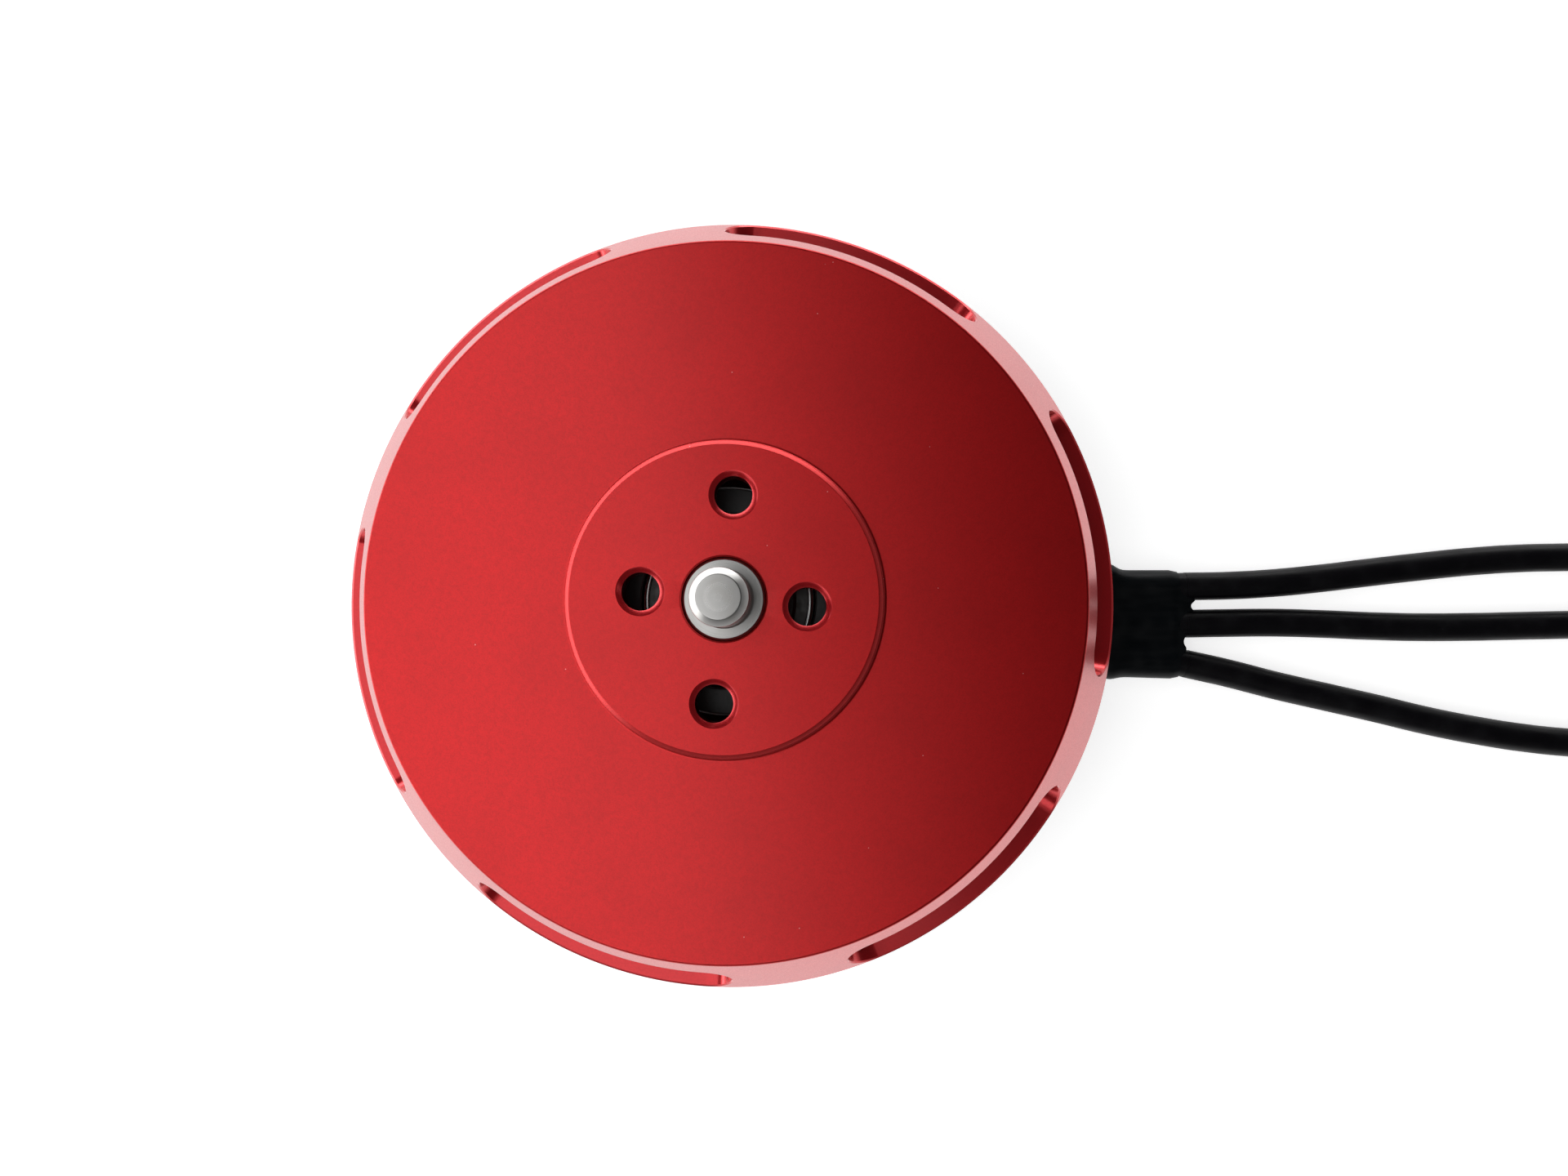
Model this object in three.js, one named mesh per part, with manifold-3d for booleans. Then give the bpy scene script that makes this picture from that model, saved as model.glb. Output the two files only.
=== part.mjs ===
// A disc-type brushless outrunner motor, lying on its mounting face with its shaft pointing up.
// Units are millimetres, +Z runs up the shaft, and the origin is the centre of the mounting face.
// The three leads leave along +X. The rotor is the red bell, the steel ring and magnets under it,
// and the shaft; the rest stands still, except for the balls and cages of the two bearings.

import * as THREE from 'three'
import { mergeVertices } from 'three/addons/utils/BufferGeometryUtils.js'
import Module from 'manifold-3d'

const wasm = await Module()
wasm.setup()

const FULL_TURN = Math.PI * 2
const radians = THREE.MathUtils.degToRad

// ---- driving dimensions -------------------------------------------------------------------

// Heights of the bell, from the mounting face.
const BOSS_TOP_Z = 33
const BOSS_HEIGHT = 1.7
const FACE_Z = BOSS_TOP_Z - BOSS_HEIGHT
const RIM_TOP_Z = 20.2
const RIM_BOTTOM_Z = 19.6
const FACE_THICKNESS = 2.4
const UNDERSIDE_Z = FACE_Z - FACE_THICKNESS

// Radii of the bell.
const RIM_R = 49.4
const FACE_R = 43.7
const BOSS_R = 19.05
const BOSS_CHAMFER = 0.6
const HUB_BORE_R = 5.06
const HUB_R = 7.6
const HUB_BOTTOM_Z = 24.5
const SHOULDER_THICKNESS = 3
const SHOULDER_SLOPE = (RIM_R - FACE_R) / (FACE_Z - RIM_TOP_Z)

// The bell's pattern of four propeller holes, and how far the rotor is turned at rest.
const REST_ANGLE = -5.2
const LONG_PAIR_SPACING = 25
const SHORT_PAIR_SPACING = 20
const PROP_HOLE_R = 2.15
const PROP_HOLE_CHAMFER = 0.85

// The six racetrack vents in the bell's sloping shoulder.
const VENT_COUNT = 6
const VENT_PHASE = REST_ANGLE + 14.8
const VENT_SPAN = 42
const VENT_TOP_Z = 27.5
const VENT_BOTTOM_Z = 20.4

// The spigot that centres the bell in the steel ring, and the ring itself.
const FIT_GAP = 0.3
const SPIGOT_R = 46.3
const SPIGOT_INNER_R = 43.9
const SPIGOT_BOTTOM_Z = 17.5
const SPIGOT_LEDGE_Z = 20
const RING_INNER_R = 46.6
const RING_TOP_Z = RIM_BOTTOM_Z - FIT_GAP
const RING_BOTTOM_Z = 5.2

// The magnets: one flat block for each pole.
const POLE_COUNT = 28
const MAGNET_WIDTH = 8.6
const MAGNET_THICKNESS = 2.6
const MAGNET_BACK_R = 46.2
const MAGNET_BOTTOM_Z = 6.5
const MAGNET_TOP_Z = 17.2

// The shaft: a 10 mm journal with a slimmer stub standing out of the bell.
const SHAFT_R = 5
const SHAFT_BOTTOM_Z = 0.4
const COLLAR_Z = BOSS_TOP_Z - 0.3
const COLLAR_CHAMFER = 0.3
const STUB_R = 3.4
const STUB_CHAMFER = 0.85
const STUB_TOP_Z = BOSS_TOP_Z + 8.9
const GROOVE_R = 4.6
const GROOVE_BOTTOM_Z = 1.1
const GROOVE_TOP_Z = 2.1

// The stator: a laminated core with one coil on each tooth.
const TOOTH_COUNT = 24
const TOOTH_PHASE = 3.3
const CORE_BOTTOM_Z = 7.6
const CORE_TOP_Z = 17.1
const CORE_BORE_R = 27.9
const YOKE_R = 31
const TOOTH_WIDTH = 3.8
const SHOE_INNER_R = 41.6
const CORE_R = 43
const SHOE_WIDTH = 9.2
const INSULATOR_THICKNESS = 0.5
const INSULATOR_GAP = 0.1

const COIL_INNER_R = 31.8
const COIL_OUTER_R = 40.7
const COIL_WIDTH = 7.8
const COIL_OPENING = 4.5
const COIL_BOTTOM_Z = 4.9
const COIL_TOP_Z = 19.8
const COIL_END_THICKNESS = 1.8
const PHASE_PATTERN = 'BAACCB'
const LINK_R = 30.6
const LINK_SIZE = 0.6

// The base: mounting disc, spoked plate, bearing tube and the seat that carries the core.
const LEAD_CENTRE_Y = -2.65
const BASE_LIP_R = 9.9
const BASE_LIP_Z = 2.1
const MOUNT_DISC_R = 24
const PLATE_R = 48.4
const PLATE_BOTTOM_Z = 2
const PLATE_TOP_Z = 4.5
const SEAT_R = 27.6
const SEAT_INNER_R = 24.6
const SEAT_FLANGE_R = 29.5
const SEAT_FLANGE_Z = 6.7
const SEAT_TOP_Z = 16.5
const TUBE_R = 14.5
const TUBE_BORE_R = 11.06
const TUBE_TOP_Z = 23.9
const WINDOW_COUNT = 6
const WINDOW_PHASE = -4.2
const WINDOW_SPAN = 42
const WINDOW_INNER_R = 30
const WINDOW_OUTER_R = 43
const LEAD_NOTCH_WIDTH = 15.7
const MOUNT_HOLE_R = 1.65
const MOUNT_HOLE_CIRCLE_R = 18

// Two 10 x 22 x 6 mm ball bearings.
const BEARING_WIDTH = 6
const BEARING_BORE_R = 5.05
const BEARING_R = 11
const UPPER_BEARING_Z = 17.7
const LOWER_BEARING_Z = 2.2
const BALL_R = 1.4
const BALL_CIRCLE_R = 8
const BALL_COUNT = 7
const INNER_LAND_R = 6.9
const OUTER_LAND_R = 9.1
const GROOVE_DEPTH = 0.45
const SHIELD_THICKNESS = 0.4

// The sleeve, the leads and their connectors.
const LEAD_R = 2
const SLEEVE_WIDTH = 15.1
const SLEEVE_HEIGHT = 4.6
const SLEEVE_BOTTOM_Z = 0.15
const SLEEVE_START_X = 42.8
const SLEEVE_END_X = 63.5
const SHRINK_R = 2.6
const SHRINK_LENGTH = 14
const BULLET_LENGTH = 13

// How finely round parts are divided.
const BELL_SIDES = 48
const BASE_SIDES = 36
const SMALL_SIDES = 20

// ---- finishes -----------------------------------------------------------------------------

const FINISHES = {
  red_anodised: { color: 0xb3242a, roughness: 0.45, metalness: 0.6 },
  black_anodised: { color: 0x17181a, roughness: 0.5, metalness: 0.5 },
  dark_steel: { color: 0x3b3d40, roughness: 0.4, metalness: 0.9 },
  bright_steel: { color: 0xb9bbbb, roughness: 0.25, metalness: 1 },
  magnet: { color: 0xa8a9ab, roughness: 0.3, metalness: 0.9 },
  laminate: { color: 0x55585c, roughness: 0.5, metalness: 0.8 },
  resin: { color: 0x1f3a2c, roughness: 0.6, metalness: 0 },
  copper: { color: 0xb5622f, roughness: 0.35, metalness: 0.8 },
  silicone: { color: 0x101113, roughness: 0.55, metalness: 0 },
  shrink: { color: 0x0b0c0d, roughness: 0.6, metalness: 0 },
  gold: { color: 0xd9a944, roughness: 0.25, metalness: 1 }
}

const motor = new THREE.Group()

function addPiece(name, geometry, finish) {
  const mesh = new THREE.Mesh(geometry, new THREE.MeshStandardMaterial(FINISHES[finish]))
  mesh.name = name
  motor.add(mesh)
}

// ---- solids -------------------------------------------------------------------------------

function signedVolume(geometry) {
  const corners = [0, 1, 2].map(() => new THREE.Vector3())
  let volume = 0
  for (let i = 0; i < geometry.index.count; i += 3) {
    corners.forEach((corner, k) => {
      corner.fromBufferAttribute(geometry.attributes.position, geometry.index.getX(i + k))
    })
    volume += corners[0].dot(corners[1].clone().cross(corners[2])) / 6
  }
  return volume
}

// Shares the vertices of a closed surface and turns its faces outward.
function closed(geometry) {
  const bare = geometry.clone()
  bare.deleteAttribute('normal')
  bare.deleteAttribute('uv')
  const merged = mergeVertices(bare, 1e-4)
  const kept = []
  const index = merged.index.array
  for (let i = 0; i < index.length; i += 3) {
    const [a, b, c] = [index[i], index[i + 1], index[i + 2]]
    if (a !== b && b !== c && c !== a) kept.push(a, b, c)
  }
  merged.setIndex(kept)
  if (signedVolume(merged) < 0) {
    const flipped = []
    for (let i = 0; i < kept.length; i += 3) flipped.push(kept[i], kept[i + 2], kept[i + 1])
    merged.setIndex(flipped)
  }
  return merged
}

function toSolid(geometry) {
  const shape = closed(geometry)
  return new wasm.Manifold(new wasm.Mesh({
    numProp: 3,
    vertProperties: new Float32Array(shape.attributes.position.array),
    triVerts: new Uint32Array(shape.index.array)
  }))
}

function toGeometry(solid) {
  const mesh = solid.getMesh()
  const geometry = new THREE.BufferGeometry()
  geometry.setAttribute('position', new THREE.BufferAttribute(mesh.vertProperties, 3))
  geometry.setIndex(new THREE.BufferAttribute(mesh.triVerts, 1))
  return geometry
}

function join(geometries) {
  return toGeometry(geometries.map(toSolid).reduce((sum, solid) => sum.add(solid)))
}

function cut(geometry, cutters) {
  return toGeometry(cutters.map(toSolid).reduce((rest, cutter) => rest.subtract(cutter), toSolid(geometry)))
}

// ---- shared shapes ------------------------------------------------------------------------

// Turns a closed outline of [radius, height] points about the shaft's axis.
function revolve(outline, sides) {
  const points = outline.map(([radius, height]) => new THREE.Vector2(radius, height))
  if (outline[0][0] > 0) points.push(points[0].clone())
  return new THREE.LatheGeometry(points, sides).rotateX(Math.PI / 2)
}

function ring(innerR, outerR, bottomZ, topZ, sides) {
  return revolve([[innerR, bottomZ], [outerR, bottomZ], [outerR, topZ], [innerR, topZ]], sides)
}

// A cylinder standing on the plane z = bottomZ.
function post(x, y, bottomR, topR, bottomZ, topZ, sides) {
  return new THREE.CylinderGeometry(topR, bottomR, topZ - bottomZ, sides)
    .rotateX(Math.PI / 2)
    .translate(x, y, (bottomZ + topZ) / 2)
}

// A flat outline in X and Y, raised between two heights.
function prism(shape, bottomZ, topZ, curveSegments = 1) {
  return new THREE.ExtrudeGeometry(shape, { depth: topZ - bottomZ, bevelEnabled: false, curveSegments })
    .translate(0, 0, bottomZ)
}

function polar(radius, degrees) {
  const angle = radians(degrees)
  return [radius * Math.cos(angle), radius * Math.sin(angle)]
}

function outlineShape(points) {
  return new THREE.Shape(points.map(([x, y]) => new THREE.Vector2(x, y)))
}

// A round-sided tube through a list of [x, y, z] points.
function tube(points, radius, sides, steps) {
  const path = new THREE.CatmullRomCurve3(points.map((point) => new THREE.Vector3(...point)))
  const section = []
  for (let i = 0; i < sides; i++) section.push(polar(radius, (360 * (i + 0.5)) / sides))
  return new THREE.ExtrudeGeometry(outlineShape(section), { steps, extrudePath: path })
}

// ---- the rotor ----------------------------------------------------------------------------

// One racetrack vent, drawn flat as [arc length, height] and bent round the shaft's axis.
function ventCutter(centreDegrees) {
  const middleR = 47.5
  const cutterInnerR = 40
  const cutterOuterR = 56
  const endR = (VENT_TOP_Z - VENT_BOTTOM_Z) / 2
  const middleZ = (VENT_TOP_Z + VENT_BOTTOM_Z) / 2
  const straightHalf = radians(VENT_SPAN / 2) * middleR - endR
  const straightSteps = 4
  const endSteps = 6
  const outline = []
  for (const side of [1, -1]) {
    for (let i = 0; i < straightSteps; i++) {
      outline.push([-side * straightHalf * (1 - (2 * i) / straightSteps), -side * endR])
    }
    for (let i = 0; i < endSteps; i++) {
      const angle = -Math.PI / 2 + (Math.PI * i) / endSteps
      outline.push([side * (straightHalf + endR * Math.cos(angle)), side * endR * Math.sin(angle)])
    }
  }
  const flat = prism(outlineShape(outline), cutterInnerR, cutterOuterR)
  const position = flat.attributes.position
  for (let i = 0; i < position.count; i++) {
    const angle = radians(centreDegrees) + position.getX(i) / middleR
    const radius = position.getZ(i)
    const height = middleZ + position.getY(i)
    position.setXYZ(i, radius * Math.cos(angle), radius * Math.sin(angle), height)
  }
  return flat
}

// A tapped propeller hole with its countersunk mouth.
function propHoleCutters(x, y) {
  const mouthR = PROP_HOLE_R + PROP_HOLE_CHAMFER
  const overrun = 0.5
  return [
    post(x, y, PROP_HOLE_R, PROP_HOLE_R, UNDERSIDE_Z - 1, BOSS_TOP_Z + 1, 12),
    post(x, y, PROP_HOLE_R, mouthR + overrun, BOSS_TOP_Z - PROP_HOLE_CHAMFER, BOSS_TOP_Z + overrun, 12)
  ]
}

const SET_SCREW_ANGLES = [45, 225]
const SET_SCREW_Z = 26.7
const SET_SCREW_R = 1.2

function setScrewBody(degrees, radius, innerR, outerR) {
  const [x, y] = polar((innerR + outerR) / 2, REST_ANGLE + degrees)
  return new THREE.CylinderGeometry(radius, radius, outerR - innerR, 12)
    .rotateZ(Math.PI / 2 + radians(REST_ANGLE + degrees))
    .translate(x, y, SET_SCREW_Z)
}

function makeBell() {
  const innerShoulderR = (z) => RIM_R - SHOULDER_THICKNESS - (z - RIM_TOP_Z) * SHOULDER_SLOPE
  const body = revolve([
    [HUB_BORE_R, HUB_BOTTOM_Z],
    [HUB_R, HUB_BOTTOM_Z],
    [HUB_R, UNDERSIDE_Z],
    [innerShoulderR(UNDERSIDE_Z), UNDERSIDE_Z],
    [innerShoulderR(SPIGOT_LEDGE_Z), SPIGOT_LEDGE_Z],
    [SPIGOT_INNER_R, SPIGOT_LEDGE_Z],
    [SPIGOT_INNER_R, SPIGOT_BOTTOM_Z],
    [SPIGOT_R, SPIGOT_BOTTOM_Z],
    [SPIGOT_R, RIM_BOTTOM_Z],
    [RIM_R, RIM_BOTTOM_Z],
    [RIM_R, RIM_TOP_Z],
    [FACE_R, FACE_Z],
    [BOSS_R, FACE_Z],
    [BOSS_R, BOSS_TOP_Z - BOSS_CHAMFER],
    [BOSS_R - BOSS_CHAMFER, BOSS_TOP_Z],
    [HUB_BORE_R, BOSS_TOP_Z]
  ], BELL_SIDES)
  const cutters = []
  for (let i = 0; i < VENT_COUNT; i++) cutters.push(ventCutter(VENT_PHASE + (360 * i) / VENT_COUNT))
  for (let i = 0; i < 4; i++) {
    const spacing = i % 2 ? LONG_PAIR_SPACING : SHORT_PAIR_SPACING
    cutters.push(...propHoleCutters(...polar(spacing / 2, REST_ANGLE + 90 * i)))
  }
  for (const degrees of SET_SCREW_ANGLES) {
    cutters.push(setScrewBody(degrees, SET_SCREW_R + FIT_GAP, HUB_BORE_R - 1, HUB_R + 1))
  }
  return cut(body, cutters)
}

function makeMagnet(index) {
  const height = MAGNET_TOP_Z - MAGNET_BOTTOM_Z
  return new THREE.BoxGeometry(MAGNET_THICKNESS, MAGNET_WIDTH, height)
    .translate(MAGNET_BACK_R - MAGNET_THICKNESS / 2, 0, (MAGNET_TOP_Z + MAGNET_BOTTOM_Z) / 2)
    .rotateZ((FULL_TURN * index) / POLE_COUNT + radians(REST_ANGLE))
}

function makeShaft() {
  return revolve([
    [0, SHAFT_BOTTOM_Z],
    [SHAFT_R - COLLAR_CHAMFER, SHAFT_BOTTOM_Z],
    [SHAFT_R, SHAFT_BOTTOM_Z + COLLAR_CHAMFER],
    [SHAFT_R, GROOVE_BOTTOM_Z],
    [GROOVE_R, GROOVE_BOTTOM_Z],
    [GROOVE_R, GROOVE_TOP_Z],
    [SHAFT_R, GROOVE_TOP_Z],
    [SHAFT_R, COLLAR_Z - COLLAR_CHAMFER],
    [SHAFT_R - COLLAR_CHAMFER, COLLAR_Z],
    [STUB_R, COLLAR_Z],
    [STUB_R, STUB_TOP_Z - STUB_CHAMFER],
    [STUB_R - STUB_CHAMFER, STUB_TOP_Z],
    [0, STUB_TOP_Z]
  ], SMALL_SIDES)
}

// An open retaining ring that snaps into the groove at the shaft's lower end.
function makeCirclip() {
  const innerR = GROOVE_R + 0.1
  const outerR = 6.6
  const halfGap = radians(22)
  const clip = new THREE.Shape()
  clip.absarc(0, 0, outerR, halfGap, FULL_TURN - halfGap, false)
  clip.absarc(0, 0, innerR, FULL_TURN - halfGap, halfGap, true)
  clip.closePath()
  return prism(clip, GROOVE_BOTTOM_Z + 0.1, GROOVE_TOP_Z - 0.1, 16)
}

function makeThrustWasher() {
  const clearance = 0.1
  return ring(SHAFT_R + clearance, INNER_LAND_R - clearance, TUBE_TOP_Z - clearance,
    HUB_BOTTOM_Z - clearance, SMALL_SIDES)
}

function addRotor() {
  addPiece('bell', makeBell(), 'red_anodised')
  addPiece('flux_ring', closed(ring(RING_INNER_R, RIM_R, RING_BOTTOM_Z, RING_TOP_Z, BELL_SIDES)), 'dark_steel')
  for (let i = 0; i < POLE_COUNT; i++) {
    const number = String(i + 1).padStart(2, '0')
    addPiece(`magnet_${number}`, closed(makeMagnet(i)), 'magnet')
  }
  addPiece('shaft', closed(makeShaft()), 'bright_steel')
  addPiece('shaft_circlip', closed(makeCirclip()), 'dark_steel')
  addPiece('thrust_washer', closed(makeThrustWasher()), 'bright_steel')
  SET_SCREW_ANGLES.forEach((degrees, i) => {
    const screw = setScrewBody(degrees, SET_SCREW_R, SHAFT_R + 0.1, HUB_R - 0.1)
    addPiece(`hub_set_screw_${i + 1}`, closed(screw), 'dark_steel')
  })
}

// ---- the bearings -------------------------------------------------------------------------

// A race is a ring with a shallow groove, for the balls, in the face at landR.
function makeRace(plainR, landR, bottomZ) {
  const middleZ = bottomZ + BEARING_WIDTH / 2
  const grooveHalf = 1.3
  const grooveFloorHalf = 0.6
  const floorR = landR + Math.sign(landR - BALL_CIRCLE_R) * GROOVE_DEPTH
  return revolve([
    [plainR, bottomZ],
    [landR, bottomZ],
    [landR, middleZ - grooveHalf],
    [floorR, middleZ - grooveFloorHalf],
    [floorR, middleZ + grooveFloorHalf],
    [landR, middleZ + grooveHalf],
    [landR, bottomZ + BEARING_WIDTH],
    [plainR, bottomZ + BEARING_WIDTH]
  ], SMALL_SIDES)
}

// The balls are held at even spacing by a thin ring through their middles.
function makeBallCage(bottomZ) {
  const middleZ = bottomZ + BEARING_WIDTH / 2
  const cageHalf = 0.5
  const pieces = [ring(BALL_CIRCLE_R - cageHalf, BALL_CIRCLE_R + cageHalf,
    middleZ - cageHalf, middleZ + cageHalf, 2 * BALL_COUNT)]
  for (let i = 0; i < BALL_COUNT; i++) {
    const [x, y] = polar(BALL_CIRCLE_R, (360 * i) / BALL_COUNT)
    pieces.push(new THREE.SphereGeometry(BALL_R, 8, 5).translate(x, y, middleZ))
  }
  return join(pieces)
}

function addBearing(label, bottomZ, shieldZ) {
  const runningGap = 0.15
  const seatingGap = 0.05
  addPiece(`${label}_bearing_inner_race`, closed(makeRace(BEARING_BORE_R, INNER_LAND_R, bottomZ)), 'bright_steel')
  addPiece(`${label}_bearing_outer_race`, closed(makeRace(BEARING_R, OUTER_LAND_R, bottomZ)), 'bright_steel')
  addPiece(`${label}_bearing_balls`, makeBallCage(bottomZ), 'bright_steel')
  const shield = ring(INNER_LAND_R + runningGap, OUTER_LAND_R - seatingGap,
    shieldZ, shieldZ + SHIELD_THICKNESS, SMALL_SIDES)
  addPiece(`${label}_bearing_shield`, closed(shield), 'bright_steel')
}

// ---- the stator ---------------------------------------------------------------------------

function toothAngle(index) {
  return TOOTH_PHASE + (360 * index) / TOOTH_COUNT
}

// The outline of a toothed ring: each tooth is drawn along +X and turned to its place.
function toothedShape(toothPoints, boreR, boreSides) {
  const points = []
  for (let i = 0; i < TOOTH_COUNT; i++) {
    const angle = radians(toothAngle(i))
    for (const [x, y] of toothPoints) {
      points.push([x * Math.cos(angle) - y * Math.sin(angle), x * Math.sin(angle) + y * Math.cos(angle)])
    }
  }
  const shape = outlineShape(points)
  const bore = []
  for (let i = 0; i < boreSides; i++) bore.push(polar(boreR, (360 * i) / boreSides))
  shape.holes.push(new THREE.Path(bore.map(([x, y]) => new THREE.Vector2(x, y))))
  return shape
}

function makeCore() {
  const neck = TOOTH_WIDTH / 2
  const shoe = SHOE_WIDTH / 2
  const tipX = Math.sqrt(CORE_R ** 2 - shoe ** 2)
  const tooth = [
    [YOKE_R, -neck], [SHOE_INNER_R - 0.6, -neck], [SHOE_INNER_R, -shoe], [tipX, -shoe],
    [CORE_R, 0],
    [tipX, shoe], [SHOE_INNER_R, shoe], [SHOE_INNER_R - 0.6, neck], [YOKE_R, neck]
  ]
  return prism(toothedShape(tooth, CORE_BORE_R, BASE_SIDES), CORE_BOTTOM_Z, CORE_TOP_Z)
}

// A thin end plate that keeps the coils off the core's sharp edges.
function makeInsulator(bottomZ) {
  const neck = TOOTH_WIDTH / 2 + 0.15
  const tooth = [[YOKE_R + 0.2, -neck], [COIL_OUTER_R, -neck], [COIL_OUTER_R, neck], [YOKE_R + 0.2, neck]]
  return prism(toothedShape(tooth, CORE_BORE_R + FIT_GAP, BASE_SIDES), bottomZ, bottomZ + INSULATOR_THICKNESS)
}

// One coil: a block with rounded corners wound round a tooth, its opening clear of the tooth.
function makeCoil(index) {
  const half = COIL_WIDTH / 2
  const corner = 1.2
  const outer = [
    [-half + corner, COIL_BOTTOM_Z], [half - corner, COIL_BOTTOM_Z],
    [half, COIL_BOTTOM_Z + corner], [half, COIL_TOP_Z - corner],
    [half - corner, COIL_TOP_Z], [-half + corner, COIL_TOP_Z],
    [-half, COIL_TOP_Z - corner], [-half, COIL_BOTTOM_Z + corner]
  ]
  const open = COIL_OPENING / 2
  const openBottom = COIL_BOTTOM_Z + COIL_END_THICKNESS
  const openTop = COIL_TOP_Z - COIL_END_THICKNESS
  const shape = outlineShape(outer)
  shape.holes.push(new THREE.Path([
    new THREE.Vector2(-open, openBottom), new THREE.Vector2(-open, openTop),
    new THREE.Vector2(open, openTop), new THREE.Vector2(open, openBottom)
  ]))
  return prism(shape, COIL_INNER_R, COIL_OUTER_R)
    .rotateX(Math.PI / 2)
    .rotateZ(Math.PI / 2 + radians(toothAngle(index)))
}

// A phase's coils are joined by a wire laid round the yoke, one level for each phase.
function makePhase(letter, level, tailPoints) {
  const bottomZ = COIL_TOP_Z - COIL_END_THICKNESS + level * (LINK_SIZE + 0.15)
  const pieces = [ring(LINK_R - LINK_SIZE / 2, LINK_R + LINK_SIZE / 2, bottomZ, bottomZ + LINK_SIZE, TOOTH_COUNT)]
  for (let i = 0; i < TOOTH_COUNT; i++) {
    if (PHASE_PATTERN[i % PHASE_PATTERN.length] !== letter) continue
    pieces.push(makeCoil(i))
    const tab = new THREE.BoxGeometry(COIL_INNER_R + 1 - LINK_R, 1, LINK_SIZE)
      .translate((COIL_INNER_R + 1 + LINK_R) / 2, 0, bottomZ + LINK_SIZE / 2)
      .rotateZ(radians(toothAngle(i)))
    pieces.push(tab)
  }
  pieces.push(tube(tailPoints, 0.9, 6, 6))
  return join(pieces)
}

function addStator() {
  addPiece('stator_core', closed(makeCore()), 'laminate')
  addPiece('upper_insulator', closed(makeInsulator(CORE_TOP_Z + INSULATOR_GAP)), 'resin')
  addPiece('lower_insulator', closed(makeInsulator(CORE_BOTTOM_Z - INSULATOR_GAP - INSULATOR_THICKNESS)), 'resin')
  const mouthX = SLEEVE_START_X - FIT_GAP
  const wireZ = SLEEVE_BOTTOM_Z + SLEEVE_HEIGHT / 2
  const [middleLeadY, leadPitch] = [LEAD_CENTRE_Y, 5.3]
  const tails = {
    A: [[32.6, 8.2, 6], [33.2, 7.8, 3.6], [37.5, 4.6, wireZ], [mouthX, middleLeadY + leadPitch, wireZ]],
    B: [[33.6, -0.2, 6], [34.2, -0.5, 3.6], [38, -2, wireZ], [mouthX, middleLeadY, wireZ]],
    C: [[31, -12.9, 6], [31.8, -12.4, 3.6], [36.5, -9.6, wireZ], [mouthX, middleLeadY - leadPitch, wireZ]]
  }
  addPiece('phase_a_winding', makePhase('A', 0, tails.A), 'copper')
  addPiece('phase_b_winding', makePhase('B', 1, tails.B), 'copper')
  addPiece('phase_c_winding', makePhase('C', 2, tails.C), 'copper')
}

// ---- the base -----------------------------------------------------------------------------

function windowCutter(centreDegrees) {
  const from = radians(centreDegrees - WINDOW_SPAN / 2)
  const to = radians(centreDegrees + WINDOW_SPAN / 2)
  const shape = new THREE.Shape()
  shape.absarc(0, 0, WINDOW_OUTER_R, from, to, false)
  shape.absarc(0, 0, WINDOW_INNER_R, to, from, true)
  shape.closePath()
  return prism(shape, PLATE_BOTTOM_Z - 1, PLATE_TOP_Z + 1, 6)
}

function makeBase() {
  const body = revolve([
    [BASE_LIP_R, 0],
    [MOUNT_DISC_R, 0],
    [MOUNT_DISC_R, PLATE_BOTTOM_Z],
    [PLATE_R, PLATE_BOTTOM_Z],
    [PLATE_R, PLATE_TOP_Z],
    [SEAT_FLANGE_R, PLATE_TOP_Z],
    [SEAT_FLANGE_R, SEAT_FLANGE_Z],
    [SEAT_R, SEAT_FLANGE_Z],
    [SEAT_R, SEAT_TOP_Z],
    [SEAT_INNER_R, SEAT_TOP_Z],
    [SEAT_INNER_R, PLATE_TOP_Z],
    [TUBE_R, PLATE_TOP_Z],
    [TUBE_R, TUBE_TOP_Z],
    [TUBE_BORE_R, TUBE_TOP_Z],
    [TUBE_BORE_R, BASE_LIP_Z],
    [BASE_LIP_R, BASE_LIP_Z]
  ], BASE_SIDES)
  const cutters = []
  for (let i = 0; i < WINDOW_COUNT; i++) cutters.push(windowCutter(WINDOW_PHASE + (360 * i) / WINDOW_COUNT))
  for (let i = 0; i < 4; i++) {
    const [x, y] = polar(MOUNT_HOLE_CIRCLE_R, 45 + 90 * i)
    cutters.push(post(x, y, MOUNT_HOLE_R, MOUNT_HOLE_R, -1, PLATE_TOP_Z + 1, 12))
  }
  const notchLength = 16
  cutters.push(new THREE.BoxGeometry(notchLength, LEAD_NOTCH_WIDTH, 6)
    .translate(WINDOW_OUTER_R - 4 + notchLength / 2, LEAD_CENTRE_Y, (PLATE_BOTTOM_Z + PLATE_TOP_Z) / 2))
  return cut(body, cutters)
}

// ---- the sleeve, the leads and their connectors -------------------------------------------

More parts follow.
